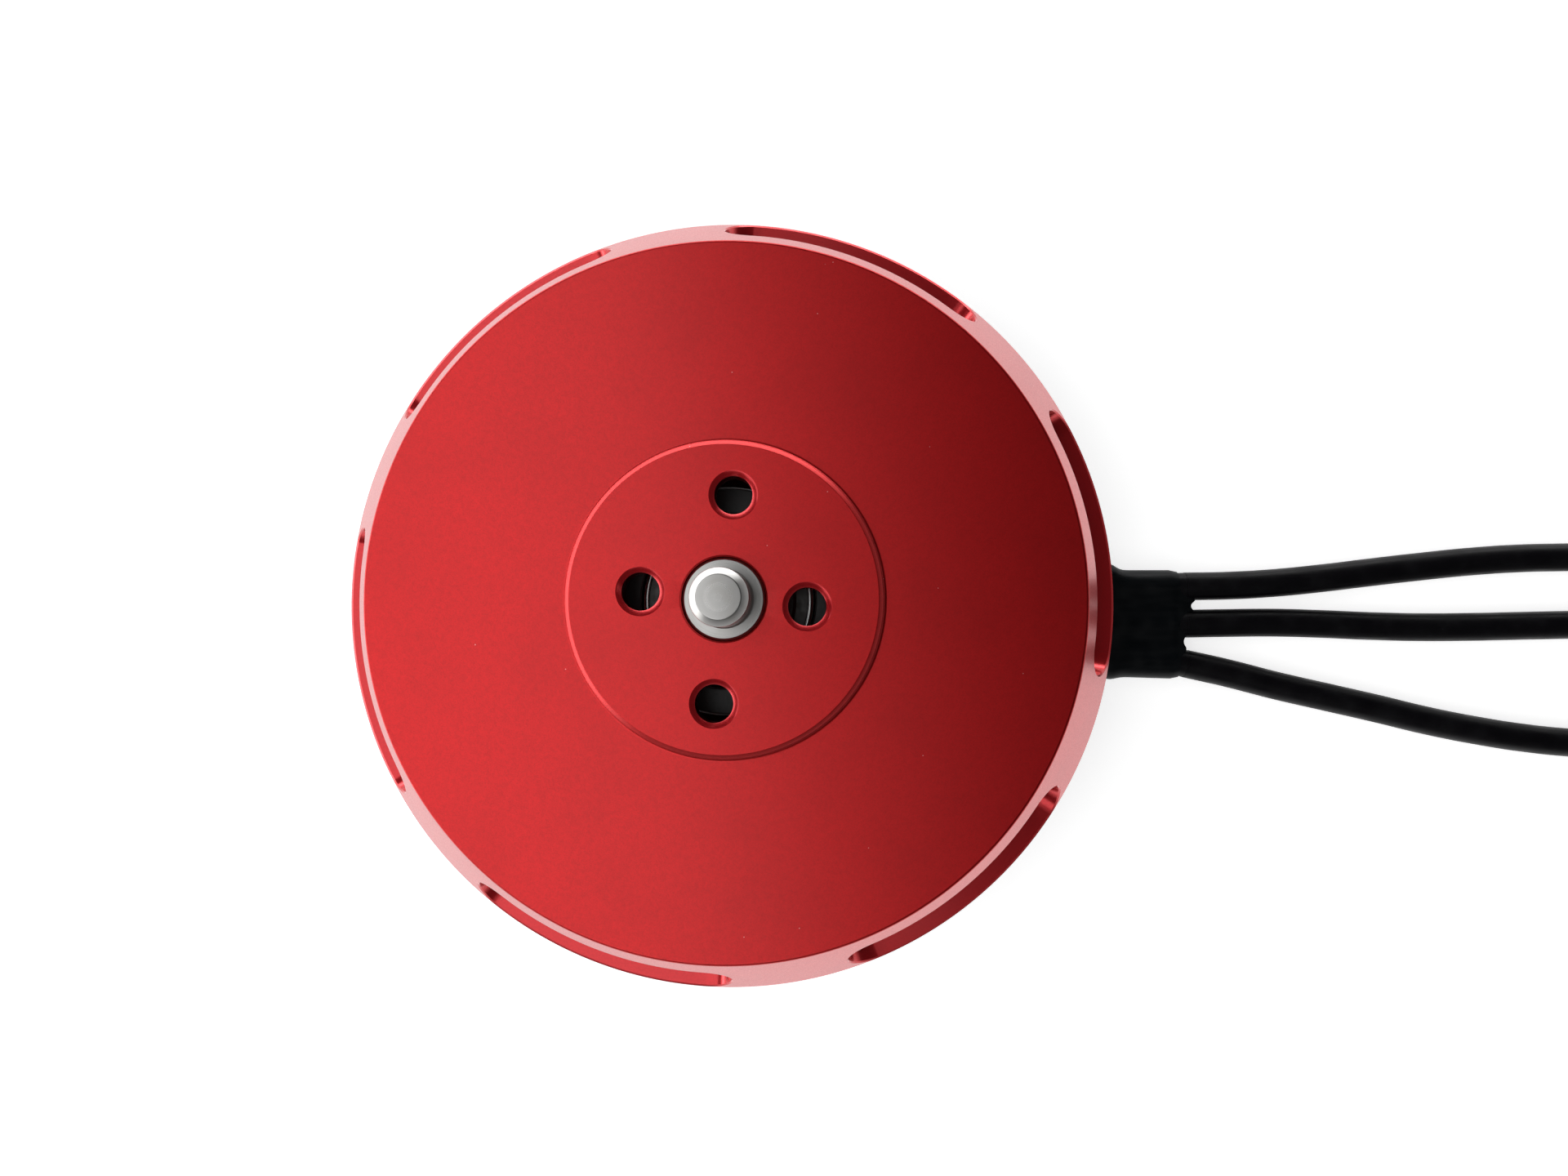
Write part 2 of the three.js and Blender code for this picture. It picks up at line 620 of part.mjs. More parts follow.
// Each lead's free route, from the sleeve's end to its connector.
const LEAD_ROUTES = {
  lead_a: [
    [64, 2.6, 2.45], [70, 2.7, 2.35], [77, 3.1, 2.2], [84, 3.8, 2.1], [91, 4.65, 2.05],
    [98, 5.45, 2.05], [105, 6.15, 2.05], [112, 6.6, 2.05], [119, 6.75, 2.05], [127, 6.9, 2.05],
    [135, 7.1, 2.05], [143, 7.4, 2.05], [151, 7.7, 2.1], [159, 8, 2.3], [167, 8.2, 2.5],
    [175, 8.3, 2.65], [183, 8.3, 2.7]
  ],
  lead_b: [
    [64, -2.75, 2.45], [70, -2.65, 2.35], [77, -2.6, 2.2], [84, -2.8, 2.1], [91, -3.1, 2.05],
    [98, -3.25, 2.05], [105, -3.2, 2.05], [112, -3.05, 2.05], [119, -2.9, 2.05], [127, -2.8, 2.05],
    [135, -2.8, 2.05], [143, -2.9, 2.05], [151, -3.1, 2.1], [159, -3.3, 2.3], [167, -3.4, 2.5],
    [175, -3.5, 2.65], [183, -3.5, 2.7]
  ],
  lead_c: [
    [64, -8.45, 2.45], [70, -9.8, 2.35], [77, -11.6, 2.2], [84, -13.2, 2.1], [91, -14.8, 2.05],
    [98, -16.5, 2.05], [105, -17.9, 2.05], [112, -19, 2.05], [119, -19.7, 2.05], [127, -20.1, 2.05],
    [135, -20.2, 2.05], [143, -20.1, 2.05], [151, -19.9, 2.1], [159, -19.6, 2.3], [167, -19.4, 2.5],
    [175, -19.3, 2.65], [183, -19.3, 2.7]
  ]
}

function makeSleeve() {
  const corner = SLEEVE_HEIGHT / 2 - 0.05
  const [halfWidth, halfHeight] = [SLEEVE_WIDTH / 2, SLEEVE_HEIGHT / 2]
  const shape = new THREE.Shape()
  shape.absarc(halfWidth - corner, halfHeight - corner, corner, 0, Math.PI / 2, false)
  shape.absarc(corner - halfWidth, halfHeight - corner, corner, Math.PI / 2, Math.PI, false)
  shape.absarc(corner - halfWidth, corner - halfHeight, corner, Math.PI, 1.5 * Math.PI, false)
  shape.absarc(halfWidth - corner, corner - halfHeight, corner, 1.5 * Math.PI, FULL_TURN, false)
  shape.closePath()
  return new THREE.ExtrudeGeometry(shape, {
    depth: SLEEVE_END_X - SLEEVE_START_X, bevelEnabled: false, curveSegments: 4
  })
    .rotateX(Math.PI / 2)
    .rotateZ(Math.PI / 2)
    .translate(SLEEVE_START_X, LEAD_CENTRE_Y, SLEEVE_BOTTOM_Z + halfHeight)
}

// A turned piece lying along +X from startX, its outline given as [radius, distance].
function turnedAlongX(outline, start, sides) {
  const points = outline.map(([radius, along]) => new THREE.Vector2(radius, along))
  return new THREE.LatheGeometry(points, sides).rotateZ(-Math.PI / 2).translate(...start)
}

function addLead(name, route) {
  const [endX, endY, endZ] = route[route.length - 1]
  addPiece(name, closed(tube(route, LEAD_R, 8, route.length - 1)), 'silicone')
  const shrinkStart = [endX + FIT_GAP, endY, endZ]
  const shrinkOutline = [
    [0, 0], [LEAD_R + 0.2, 0], [SHRINK_R, 2], [SHRINK_R, SHRINK_LENGTH], [0, SHRINK_LENGTH]
  ]
  addPiece(`${name}_shrink`, closed(turnedAlongX(shrinkOutline, shrinkStart, 10)), 'shrink')
  const bulletStart = [shrinkStart[0] + SHRINK_LENGTH + FIT_GAP, endY, endZ]
  const bulletOutline = [
    [0, 0], [2.3, 0], [2.3, 1.5], [1.75, 2], [2, 6.5], [1.75, 11.2], [1, BULLET_LENGTH], [0, BULLET_LENGTH]
  ]
  addPiece(`${name}_bullet`, closed(turnedAlongX(bulletOutline, bulletStart, 10)), 'gold')
}

// ---- the whole motor ----------------------------------------------------------------------

addRotor()
addBearing('upper', UPPER_BEARING_Z, UPPER_BEARING_Z + BEARING_WIDTH - SHIELD_THICKNESS - 0.1)
addBearing('lower', LOWER_BEARING_Z, LOWER_BEARING_Z + 0.1)
addPiece('base_mount', makeBase(), 'black_anodised')
addStator()
addPiece('lead_sleeve', closed(makeSleeve()), 'shrink')
for (const [name, route] of Object.entries(LEAD_ROUTES)) addLead(name, route)

export default motor
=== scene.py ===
"""The looks of a disc-type brushless outrunner motor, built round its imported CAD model.

The motor lies on its mounting face with its shaft pointing up (+Z), and its leads run along +X.
Outlines are written in millimetres and turned into metres as each mesh is made.
"""

import math

import bmesh
import bpy
from mathutils import Matrix, Vector, noise


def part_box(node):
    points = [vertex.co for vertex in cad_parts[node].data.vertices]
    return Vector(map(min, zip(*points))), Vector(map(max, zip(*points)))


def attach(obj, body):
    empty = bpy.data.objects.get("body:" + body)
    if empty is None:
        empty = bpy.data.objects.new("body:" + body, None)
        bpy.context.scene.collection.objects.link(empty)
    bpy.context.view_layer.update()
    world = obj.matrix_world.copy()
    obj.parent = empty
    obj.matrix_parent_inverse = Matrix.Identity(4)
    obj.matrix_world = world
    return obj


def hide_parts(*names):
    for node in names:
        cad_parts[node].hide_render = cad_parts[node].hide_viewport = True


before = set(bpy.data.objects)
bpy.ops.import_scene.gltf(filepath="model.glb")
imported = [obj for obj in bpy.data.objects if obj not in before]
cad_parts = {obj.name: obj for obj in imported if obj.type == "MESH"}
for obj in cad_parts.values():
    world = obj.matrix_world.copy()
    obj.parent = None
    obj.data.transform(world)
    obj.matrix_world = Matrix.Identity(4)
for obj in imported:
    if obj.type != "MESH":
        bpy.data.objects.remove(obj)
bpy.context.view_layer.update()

MM = 0.001
FULL_TURN = 2 * math.pi


def add_object(name, data):
    """Puts a new object into the scene."""
    made = bpy.data.objects.new(name, data)
    bpy.context.scene.collection.objects.link(made)
    return made


def node_box(name):
    """The lowest and highest corner of a CAD node, in millimetres."""
    low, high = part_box(name)
    return low / MM, high / MM


# ---- sizes read from the frame ----

BELL_HIGH = node_box("bell")[1]
RING_LOW, RING_HIGH = node_box("flux_ring")
BASE_HIGH = node_box("base_mount")[1]
SHAFT_LOW, SHAFT_HIGH = node_box("shaft")
SLEEVE_LOW, SLEEVE_HIGH = node_box("lead_sleeve")

RIM_R = BELL_HIGH.x
BOSS_TOP_Z = BELL_HIGH.z
PLATE_R = BASE_HIGH.y
SHAFT_R = SHAFT_HIGH.x
SHAFT_TOP_Z = SHAFT_HIGH.z
SLEEVE_CENTRE_Y = (SLEEVE_LOW.y + SLEEVE_HIGH.y) / 2
SLEEVE_CENTRE_Z = (SLEEVE_LOW.z + SLEEVE_HIGH.z) / 2

# ---- the bell's own sizes, as in the CAD model ----

BOSS_HEIGHT = 1.7
FACE_Z = BOSS_TOP_Z - BOSS_HEIGHT
UNDERSIDE_Z = FACE_Z - 2.4
FACE_R = 43.7
BOSS_R = 19.05
HUB_BORE_R = 5.06
HUB_R = 7.6
HUB_BOTTOM_Z = 24.5
RIM_TOP_Z = 20.2
RIM_BOTTOM_Z = 19.6
SPIGOT_R = 46.3
SPIGOT_INNER_R = 43.9
SPIGOT_LEDGE_Z = 20
SPIGOT_BOTTOM_Z = 17.5
SHOULDER_SLOPE = (RIM_R - FACE_R) / (FACE_Z - RIM_TOP_Z)
SHOULDER_THICKNESS = 3
REST_ANGLE = -5.2
VENT_PHASE = REST_ANGLE + 14.8
VENT_COUNT = 6
VENT_SPAN = 42
VENT_TOP_Z = 27.5
VENT_BOTTOM_Z = 20.4
PROP_HOLE_CIRCLES = [10, 12.5, 10, 12.5]

TOOTH_COUNT = 24
TOOTH_PHASE = 3.3
PHASE_PATTERN = "BAACCB"


# ---- camera ----

def make_camera():
    """Looks almost straight down on the boss, from a little to the leads' side of the shaft."""
    height = 143.6
    eye = Vector((9.8, -3.9, BOSS_TOP_Z + height)) * MM
    aim = Vector((7.2, 1.3, BOSS_TOP_Z)) * MM
    back = (eye - aim).normalized()
    right = Vector((0, 1, 0)).cross(back).normalized()
    up = back.cross(right)
    data = bpy.data.cameras.new("camera")
    data.sensor_width = 36
    data.lens = 27.75
    data.clip_start = 0.01
    camera = add_object("camera", data)
    turn = Matrix((right, up, back)).transposed()
    camera.matrix_world = Matrix.Translation(eye) @ turn.to_4x4()
    bpy.context.scene.camera = camera


make_camera()


# ---- mesh tools ----

UPRIGHT = Matrix.Identity(3)
Z_TO_X = Matrix.Rotation(math.pi / 2, 3, "Y")


def polar(radius, degrees):
    angle = math.radians(degrees)
    return radius * math.cos(angle), radius * math.sin(angle)


def finish_mesh(bm, name, *materials, crease=35, closed=True):
    """Makes an object of a bmesh drawn in millimetres, smooth except at edges over the crease angle.

    A closed mesh has its faces turned outwards. An open one keeps them as they are.
    """
    if closed:
        bmesh.ops.recalc_face_normals(bm, faces=bm.faces)
    bmesh.ops.scale(bm, vec=(MM, MM, MM), verts=bm.verts)
    mesh = bpy.data.meshes.new(name)
    bm.to_mesh(mesh)
    bm.free()
    for material in materials:
        mesh.materials.append(material)
    piece = add_object(name, mesh)
    smooth(piece, crease)
    return piece


def smooth(piece, crease):
    """Shades a piece smoothly between its creases, and keeps its wide flat faces flat."""
    for polygon in piece.data.polygons:
        polygon.use_smooth = True
    piece.data.set_sharp_from_angle(angle=math.radians(crease))
    weighting = piece.modifiers.new("flat_faces_stay_flat", "WEIGHTED_NORMAL")
    weighting.keep_sharp = True


def add_block(bm, size, centre, turn=UPRIGHT):
    block = bmesh.ops.create_cube(bm, size=1)["verts"]
    bmesh.ops.scale(bm, vec=size, verts=block)
    bmesh.ops.rotate(bm, verts=block, matrix=turn)
    bmesh.ops.translate(bm, verts=block, vec=centre)


def place(piece, body, slot, *nodes):
    """Joins a finished piece to its CAD body and hides the CAD nodes it stands for. The slot is not used.
    """
    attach(piece, body)
    if nodes:
        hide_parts(*nodes)
    return piece


def dress(node, material):
    """Gives a CAD node, which keeps its own mesh, a finished material."""
    node.data.materials.clear()
    node.data.materials.append(material)


def rounded_outline(corners, steps=4):
    """The closed outline through (x, y, radius) corners, with each corner turned into an arc."""
    points = []
    count = len(corners)
    for i, (x, y, radius) in enumerate(corners):
        here = Vector((x, y))
        if not radius:
            points.append((x, y))
            continue
        before = (Vector(corners[i - 1][:2]) - here).normalized()
        after = (Vector(corners[(i + 1) % count][:2]) - here).normalized()
        half = before.angle(after) / 2
        centre = here + (before + after).normalized() * radius / math.sin(half)
        start = here + before * radius / math.tan(half) - centre
        sweep = start.angle_signed(here + after * radius / math.tan(half) - centre)
        for k in range(steps + 1):
            arm = Matrix.Rotation(-sweep * k / steps, 2) @ start
            points.append(tuple(centre + arm))
    return points


def bridge(bm, lower, upper):
    """Joins two rings of corners with a band of faces; corners shared on an axis count once."""
    band = []
    for k in range(len(lower)):
        n = (k + 1) % len(lower)
        corners = list(dict.fromkeys((lower[k], lower[n], upper[n], upper[k])))
        if len(corners) > 2:
            band.append(bm.faces.new(corners))
    return band


def skin(bm, rings, capped=True):
    """Joins rings one after another, and closes both ends if capped. Returns the bands of faces."""
    bands = [bridge(bm, lower, upper) for lower, upper in zip(rings, rings[1:])]
    if capped:
        bm.faces.new(rings[0][::-1])
        bm.faces.new(rings[-1])
    return bands


def turned(name, material, corners, segments=192, on_axis=False, steps=4, turn=UPRIGHT, start=(0, 0, 0)):
    """A turned piece from (radius, height, edge radius) corners, then turned and moved into place.

    The outline closes on itself, unless on_axis says that it starts and ends on the axis.
    """
    bm = bmesh.new()
    rings = []
    for radius, height in rounded_outline(corners, steps):
        if radius < 1e-6:
            rings.append([bm.verts.new((0, 0, height))] * segments)
            continue
        angles = [FULL_TURN * k / segments for k in range(segments)]
        rings.append([bm.verts.new((radius * math.cos(a), radius * math.sin(a), height)) for a in angles])
    if not on_axis:
        rings.append(rings[0])
    skin(bm, rings, capped=False)
    bmesh.ops.rotate(bm, verts=bm.verts, matrix=turn)
    bmesh.ops.translate(bm, verts=bm.verts, vec=start)
    return finish_mesh(bm, name, material)


def add_tube(bm, points, radius, sides=8, closed_loop=False):
    """Adds a round tube along points, with flat ends unless it closes on itself. radius may be a list."""
    points = [Vector(p) for p in points]
    count = len(points)
    radii = radius if isinstance(radius, list) else [radius] * count
    rings = []
    side = None
    for i, point in enumerate(points):
        ahead = points[(i + 1) % count] if closed_loop or i + 1 < count else point
        behind = points[i - 1] if closed_loop or i > 0 else point
        along = (ahead - behind).normalized()
        if side is None:
            side = along.orthogonal().normalized()
        side = (side - along * side.dot(along)).normalized()
        other = along.cross(side)
        ring = []
        for k in range(sides):
            angle = FULL_TURN * k / sides
            offset = (side * math.cos(angle) + other * math.sin(angle)) * radii[i]
            ring.append(bm.verts.new(point + offset))
        rings.append(ring)
    if closed_loop:
        rings.append(rings[0])
    skin(bm, rings, capped=not closed_loop)


def slot_columns(half_length, half_height, corner):
    """Columns (along, half height) across a slot whose four corners are rounded by corner."""
    flat = half_length - corner
    arc_steps, straight_steps = 8, 16
    arc = []
    for k in range(arc_steps):
        angle = math.pi / 2 * k / arc_steps
        arc.append((corner * math.cos(angle), half_height - corner + corner * math.sin(angle)))
    middle = [(-flat + 2 * flat * k / straight_steps, half_height) for k in range(straight_steps + 1)]
    return [(-flat - out, up) for out, up in arc] + middle + [(flat + out, up) for out, up in arc[::-1]]


def add_slot_cutter(bm, degrees, middle_r, half_length, half_height, corner, levels, section):
    """Adds the cutter of a slot that follows the circle middle_r, centred at an angle.

    levels are (depth, growth) steps through the wall, and section(up, depth) gives (radius, height).
    """
    def to_space(along, up, depth):
        radius, z = section(up, depth)
        angle = math.radians(degrees) + along / middle_r
        return radius * math.cos(angle), radius * math.sin(angle), z

    rows = []
    for depth, growth in levels:
        columns = slot_columns(half_length + growth, half_height + growth, corner + growth)
        top = [bm.verts.new(to_space(along, half, depth)) for along, half in columns]
        bottom = [bm.verts.new(to_space(along, -half, depth)) for along, half in columns]
        rows.append((top, bottom))
    for (top, bottom), (next_top, next_bottom) in zip(rows, rows[1:]):
        bridge(bm, top + bottom[::-1], next_top + next_bottom[::-1])
    for top, bottom in (rows[0], rows[-1]):
        for k in range(len(top) - 1):
            bm.faces.new((top[k], top[k + 1], bottom[k + 1], bottom[k]))


def cut_away(piece, cutter_bm, *cut_materials, crease=35):
    """Subtracts the cutters from the piece, and gives the fresh surfaces the cutters' materials."""
    bmesh.ops.remove_doubles(cutter_bm, verts=cutter_bm.verts, dist=1e-4)
    cutter = finish_mesh(cutter_bm, piece.name + "_cutter", *cut_materials)
    cutter.modifiers.clear()
    piece.modifiers.clear()
    boolean = piece.modifiers.new("cut", "BOOLEAN")
    boolean.operation = "DIFFERENCE"
    boolean.solver = "EXACT"
    boolean.material_mode = "TRANSFER"
    boolean.object = cutter
    bpy.context.view_layer.update()
    evaluated = piece.evaluated_get(bpy.context.evaluated_depsgraph_get())
    mesh = bpy.data.meshes.new_from_object(evaluated)
    piece.modifiers.clear()
    piece.data = mesh
    smooth(piece, crease)
    bpy.data.objects.remove(cutter)


# ---- material tools ----

class Finish:
    """A procedural material: a principled shader and the small textures that feed it."""

    def __init__(self, name, colour, roughness, metallic=0.0):
        self.material = bpy.data.materials.new(name)
        self.material.use_nodes = True
        self.tree = self.material.node_tree
        self.shader = self.tree.nodes["Principled BSDF"]
        self.colour = colour
        self.shader.inputs["Base Color"].default_value = (*colour, 1)
        self.shader.inputs["Roughness"].default_value = roughness
        self.shader.inputs["Metallic"].default_value = metallic
        self.coordinates = self.node("ShaderNodeTexCoord").outputs["Object"]

    def node(self, kind, **settings):
        made = self.tree.nodes.new(kind)
        for name, value in settings.items():
            setattr(made, name, value)
        return made

    def feed(self, socket, value):
        if isinstance(value, bpy.types.NodeSocket):
            self.tree.links.new(value, socket)
        else:
            socket.default_value = value

    def math(self, operation, first, second=0.0):
        made = self.node("ShaderNodeMath", operation=operation)
        self.feed(made.inputs[0], first)
        self.feed(made.inputs[1], second)
        return made.outputs[0]

    def between(self, value, low, high, to_low=0.0, to_high=1.0):
        """Maps a value from one range to another, held at both ends."""
        made = self.node("ShaderNodeMapRange", interpolation_type="SMOOTHSTEP")
        for socket, number in zip(made.inputs, (value, low, high, to_low, to_high)):
            self.feed(socket, number)
        return made.outputs[0]

    def noise(self, grain_mm, detail=2.0, vector=None, stretch=None):
        """Cloudy noise whose features are about grain_mm across."""
        vector = vector or self.coordinates
        if stretch:
            mapping = self.node("ShaderNodeMapping")
            mapping.inputs["Scale"].default_value = stretch
            self.feed(mapping.inputs["Vector"], vector)
            vector = mapping.outputs[0]
        made = self.node("ShaderNodeTexNoise")
        self.feed(made.inputs["Vector"], vector)
        made.inputs["Scale"].default_value = 1 / (grain_mm * MM)
        made.inputs["Detail"].default_value = detail
        return made.outputs["Fac"]

    def turning_marks(self, pitch_mm):
        """Noise that is the same all round the shaft's axis: rings on ends, grooves on sides."""
        parts = self.node("ShaderNodeSeparateXYZ")
        self.feed(parts.inputs[0], self.coordinates)
        squares = self.math("ADD", self.math("POWER", parts.outputs[0], 2.0),
                            self.math("POWER", parts.outputs[1], 2.0))
        vector = self.node("ShaderNodeCombineXYZ")
        self.feed(vector.inputs[0], self.math("SQRT", squares))
        self.feed(vector.inputs[1], parts.outputs[2])
        return self.noise(pitch_mm, 1.0, vector.outputs[0])

    def specks(self, spacing_mm, radius_mm, amount, colour):
        """Mixes in so much of another colour on sparse round specks."""
        made = self.node("ShaderNodeTexVoronoi")
        self.feed(made.inputs["Vector"], self.coordinates)
        made.inputs["Scale"].default_value = 1 / (spacing_mm * MM)
        edge = radius_mm / spacing_mm
        speck = self.between(made.outputs["Distance"], edge * 0.6, edge, 1.0, 0.0)
        self.tint(self.math("MULTIPLY", speck, amount), colour)

    def tint(self, factor, colour):
        """Mixes the base colour so far towards another colour."""
        mix = self.node("ShaderNodeMix", data_type="RGBA")
        source = self.shader.inputs["Base Color"]
        self.feed(mix.inputs["Factor"], factor)
        before = source.links[0].from_socket if source.is_linked else source.default_value
        self.feed(mix.inputs["A"], before)
        mix.inputs["B"].default_value = (*colour, 1)
        self.feed(source, mix.outputs["Result"])

    def stain(self, factor, amount, colour, low=0.5, high=0.8):
        """Mixes in so much of another colour where the factor is high."""
        self.tint(self.between(factor, low, high, 0.0, amount), colour)

    def shade(self, factor, amount, low=0.35, high=0.7, to_low=0.0, to_high=1.0):
        """Darkens the base colour by a share, as the factor goes from low to high."""
        share = self.math("MULTIPLY", self.between(factor, low, high, to_low, to_high), amount)
        self.tint(share, tuple(0.45 * c for c in self.colour))

    def gloss(self, factor, low, high):
        """Lets the roughness wander from low to high as the factor rises."""
        self.feed(self.shader.inputs["Roughness"], self.between(factor, 0.3, 0.7, low, high))

    def bump(self, factor, depth_mm, strength=1.0):
        """Adds a height in millimetres to the surface."""
        made = self.node("ShaderNodeBump")
        made.inputs["Strength"].default_value = strength
        made.inputs["Distance"].default_value = depth_mm * MM
        self.feed(made.inputs["Height"], factor)
        normal = self.shader.inputs["Normal"]
        if normal.is_linked:
            self.feed(made.inputs["Normal"], normal.links[0].from_socket)
        self.feed(normal, made.outputs[0])

    def set(self, **sockets):
        """Sets constant values on the shader's own sockets; an underscore stands for a space."""
        for name, value in sockets.items():
            self.shader.inputs[name.replace("_", " ")].default_value = value
        return self


# ---- materials ----

def make_red_anodised():
    """Bead-blasted aluminium, anodised red: a fine even grain, faint clouding and a few specks."""
    finish = Finish("red_anodised", (0.6, 0.007, 0.009), 0.36, 1.0)
    grain = finish.noise(0.16, 3)
    finish.shade(grain, 0.28, 0.35, 0.75)
    finish.shade(finish.noise(0.7, 3), 0.12)
    finish.shade(finish.noise(11, 2), 0.12, 0.4, 0.75)
    finish.specks(3.2, 0.085, 0.6, (0.9, 0.42, 0.42))
    finish.gloss(grain, 0.33, 0.41)
    finish.bump(grain, 0.006, 0.5)
    return finish.set(Coat_Weight=0.6, Coat_Roughness=0.25).material


def make_red_machined():
    """The same anodising on surfaces milled after blasting: brighter, with fine cutter marks."""
    finish = Finish("red_machined", (0.62, 0.012, 0.018), 0.26, 0.65)
    marks = finish.noise(0.3, 1)
    finish.shade(marks, 0.15)
    finish.gloss(marks, 0.19, 0.26)
    finish.bump(marks, 0.0008, 0.3)
    return finish.set(Coat_Weight=0.5, Coat_Roughness=0.15).material


def make_thread_painted_shade():
    """Tapped threads, dark with painted shade for the deep shadow inside the holes, and a faint random
    mottle.
    """
    # The near-black base colour is painted shade, standing in for the shadow deep in the holes.
    finish = Finish("thread_painted_shade", (0.05, 0.004, 0.004), 0.35, 0.6)
    film = finish.noise(0.4, 3)
    finish.stain(film, 0.5, (0.1, 0.01, 0.01))
    finish.gloss(film, 0.3, 0.5)
    finish.bump(film, 0.004, 0.4)
    return finish.material


def make_black_anodised():
    """The base: black anodised aluminium, with faint turning marks under its even grain."""
    finish = Finish("black_anodised", (0.012, 0.012, 0.013), 0.42, 0.0)
    grain = finish.noise(0.15, 3)
    marks = finish.turning_marks(0.35)
    finish.stain(finish.noise(9, 2), 0.5, (0.024, 0.024, 0.025))
    finish.gloss(grain, 0.36, 0.5)
    finish.bump(grain, 0.004, 0.5)
    finish.bump(marks, 0.004, 0.3)
    return finish.material


def make_ring_steel():
    """The flux ring: turned steel under a thin black oxide, worn a little paler in places."""
    finish = Finish("ring_steel", (0.075, 0.075, 0.08), 0.33, 0.95)
    marks = finish.turning_marks(0.12)
    finish.shade(marks, 0.5)
    finish.stain(finish.noise(14, 5), 0.2, (0.13, 0.125, 0.12), 0.45, 0.8)
    finish.gloss(marks, 0.26, 0.42)
    finish.bump(marks, 0.006, 0.5)
    return finish.material


def make_ground_steel():
    """The shaft: ground steel with faint turning marks and a slightly oily film."""
    finish = Finish("ground_steel", (0.43, 0.425, 0.415), 0.28, 1.0)
    marks = finish.turning_marks(0.3)
    finish.shade(marks, 0.06)
    finish.stain(finish.noise(2.5, 1), 0.3, (0.33, 0.31, 0.28), 0.4, 0.8)
    finish.gloss(marks, 0.27, 0.31)
    finish.bump(marks, 0.0008, 0.3)
    return finish.material


def make_bearing_steel():
    """Bright hardened steel, for the races, the balls and the thrust washer."""
    finish = Finish("bearing_steel", (0.55, 0.55, 0.55), 0.22, 1.0)
    marks = finish.turning_marks(0.1)
    finish.shade(marks, 0.2)
    finish.gloss(marks, 0.15, 0.28)
    finish.bump(marks, 0.002, 0.4)
    return finish.material


def make_spring_steel():
    """Blackened spring steel, for the retaining ring and the set screws."""
    finish = Finish("spring_steel", (0.05, 0.048, 0.047), 0.35, 0.9)
    film = finish.noise(0.8, 4)
    finish.stain(film, 0.5, (0.12, 0.11, 0.1))
    finish.gloss(film, 0.28, 0.45)
    finish.bump(finish.noise(0.12, 2), 0.002, 0.4)
    return finish.material


def make_nickel():
    """Nickel plate on the magnets, with fine scratches and a soft mottle."""
    finish = Finish("magnet_nickel", (0.5, 0.49, 0.46), 0.25, 1.0)
    mottle = finish.noise(1.2, 4)
    finish.shade(mottle, 0.35, 0.35, 0.75)
    finish.gloss(mottle, 0.18, 0.36)
    finish.bump(finish.noise(0.3, 3, stretch=(1, 1, 0.2)), 0.003, 0.4)
    return finish.material


def make_laminations():
    """A stack of 0.35 mm steel sheets, seen as fine lines round the core."""
    finish = Finish("laminations", (0.16, 0.165, 0.175), 0.45, 0.8)
    parts = finish.node("ShaderNodeSeparateXYZ")
    finish.feed(parts.inputs[0], finish.coordinates)
    sheet_mm = 0.35
    phase = finish.math("MULTIPLY", parts.outputs[2], FULL_TURN / (sheet_mm * MM))
    lines = finish.math("SINE", phase)
    finish.shade(lines, 0.8, -1.0, -0.5, 1.0, 0.0)
    finish.stain(finish.noise(2.5, 3), 0.4, (0.24, 0.2, 0.17))
    finish.gloss(finish.noise(0.5, 2), 0.36, 0.55)
    finish.bump(lines, 0.03, 0.6)
    return finish.material


def make_insulator():
    """Dark green epoxy, brushed on unevenly."""
    finish = Finish("insulator", (0.020, 0.075, 0.05), 0.5)
    film = finish.noise(0.6, 4)
    finish.shade(film, 0.5, 0.35, 0.75)
    finish.gloss(film, 0.4, 0.6)
    finish.bump(film, 0.03, 0.5)
    return finish.material


def make_copper():
    """Enamelled copper wire, some turns a shade darker than others."""
    finish = Finish("enamelled_copper", (0.52, 0.17, 0.055), 0.26, 0.9)
    finish.shade(finish.noise(1.3, 2), 0.4)
    finish.stain(finish.noise(5, 2), 0.4, (0.36, 0.09, 0.03), 0.5, 0.75)
    finish.gloss(finish.noise(0.4, 2), 0.2, 0.34)
    finish.bump(finish.noise(0.25, 2), 0.004, 0.4)
    return finish.set(Coat_Weight=0.5, Coat_Roughness=0.12).material


def make_silicone():
    """Black silicone rubber: nearly matt, with a faint bloom and a little dust."""
    finish = Finish("lead_silicone", (0.0022, 0.0018, 0.0028), 0.42)
    bloom = finish.noise(3.5, 3)
    finish.stain(bloom, 0.6, (0.006, 0.006, 0.0075))
    finish.specks(1.9, 0.06, 0.4, (0.06, 0.06, 0.06))
    finish.gloss(bloom, 0.36, 0.5)
    finish.bump(finish.noise(0.35, 3), 0.01, 0.5)
    return finish.set(Specular_IOR_Level=0.14).material


def make_heat_shrink():
    """Shrunk polyolefin: smoother than the leads, with soft lengthwise drawing lines."""
    finish = Finish("heat_shrink", (0.0022, 0.0032, 0.0042), 0.4)
    drawing = finish.noise(0.8, 3, stretch=(0.12, 1, 1))
    finish.stain(drawing, 0.5, (0.006, 0.007, 0.008))
    finish.gloss(drawing, 0.33, 0.48)
    finish.bump(drawing, 0.02, 0.4)
    finish.bump(finish.noise(0.2, 2), 0.004, 0.4)
    return finish.set(Specular_IOR_Level=0.12).material


def make_gold():
    """Thin gold plate, slightly hazy, on the connectors."""
    finish = Finish("gold_plate", (0.83, 0.52, 0.16), 0.2, 1.0)
    film = finish.noise(0.9, 3)
    finish.shade(film, 0.18, 0.35, 0.75)
    finish.gloss(film, 0.14, 0.28)
    finish.bump(finish.noise(0.1, 2), 0.002, 0.3)
    return finish.material


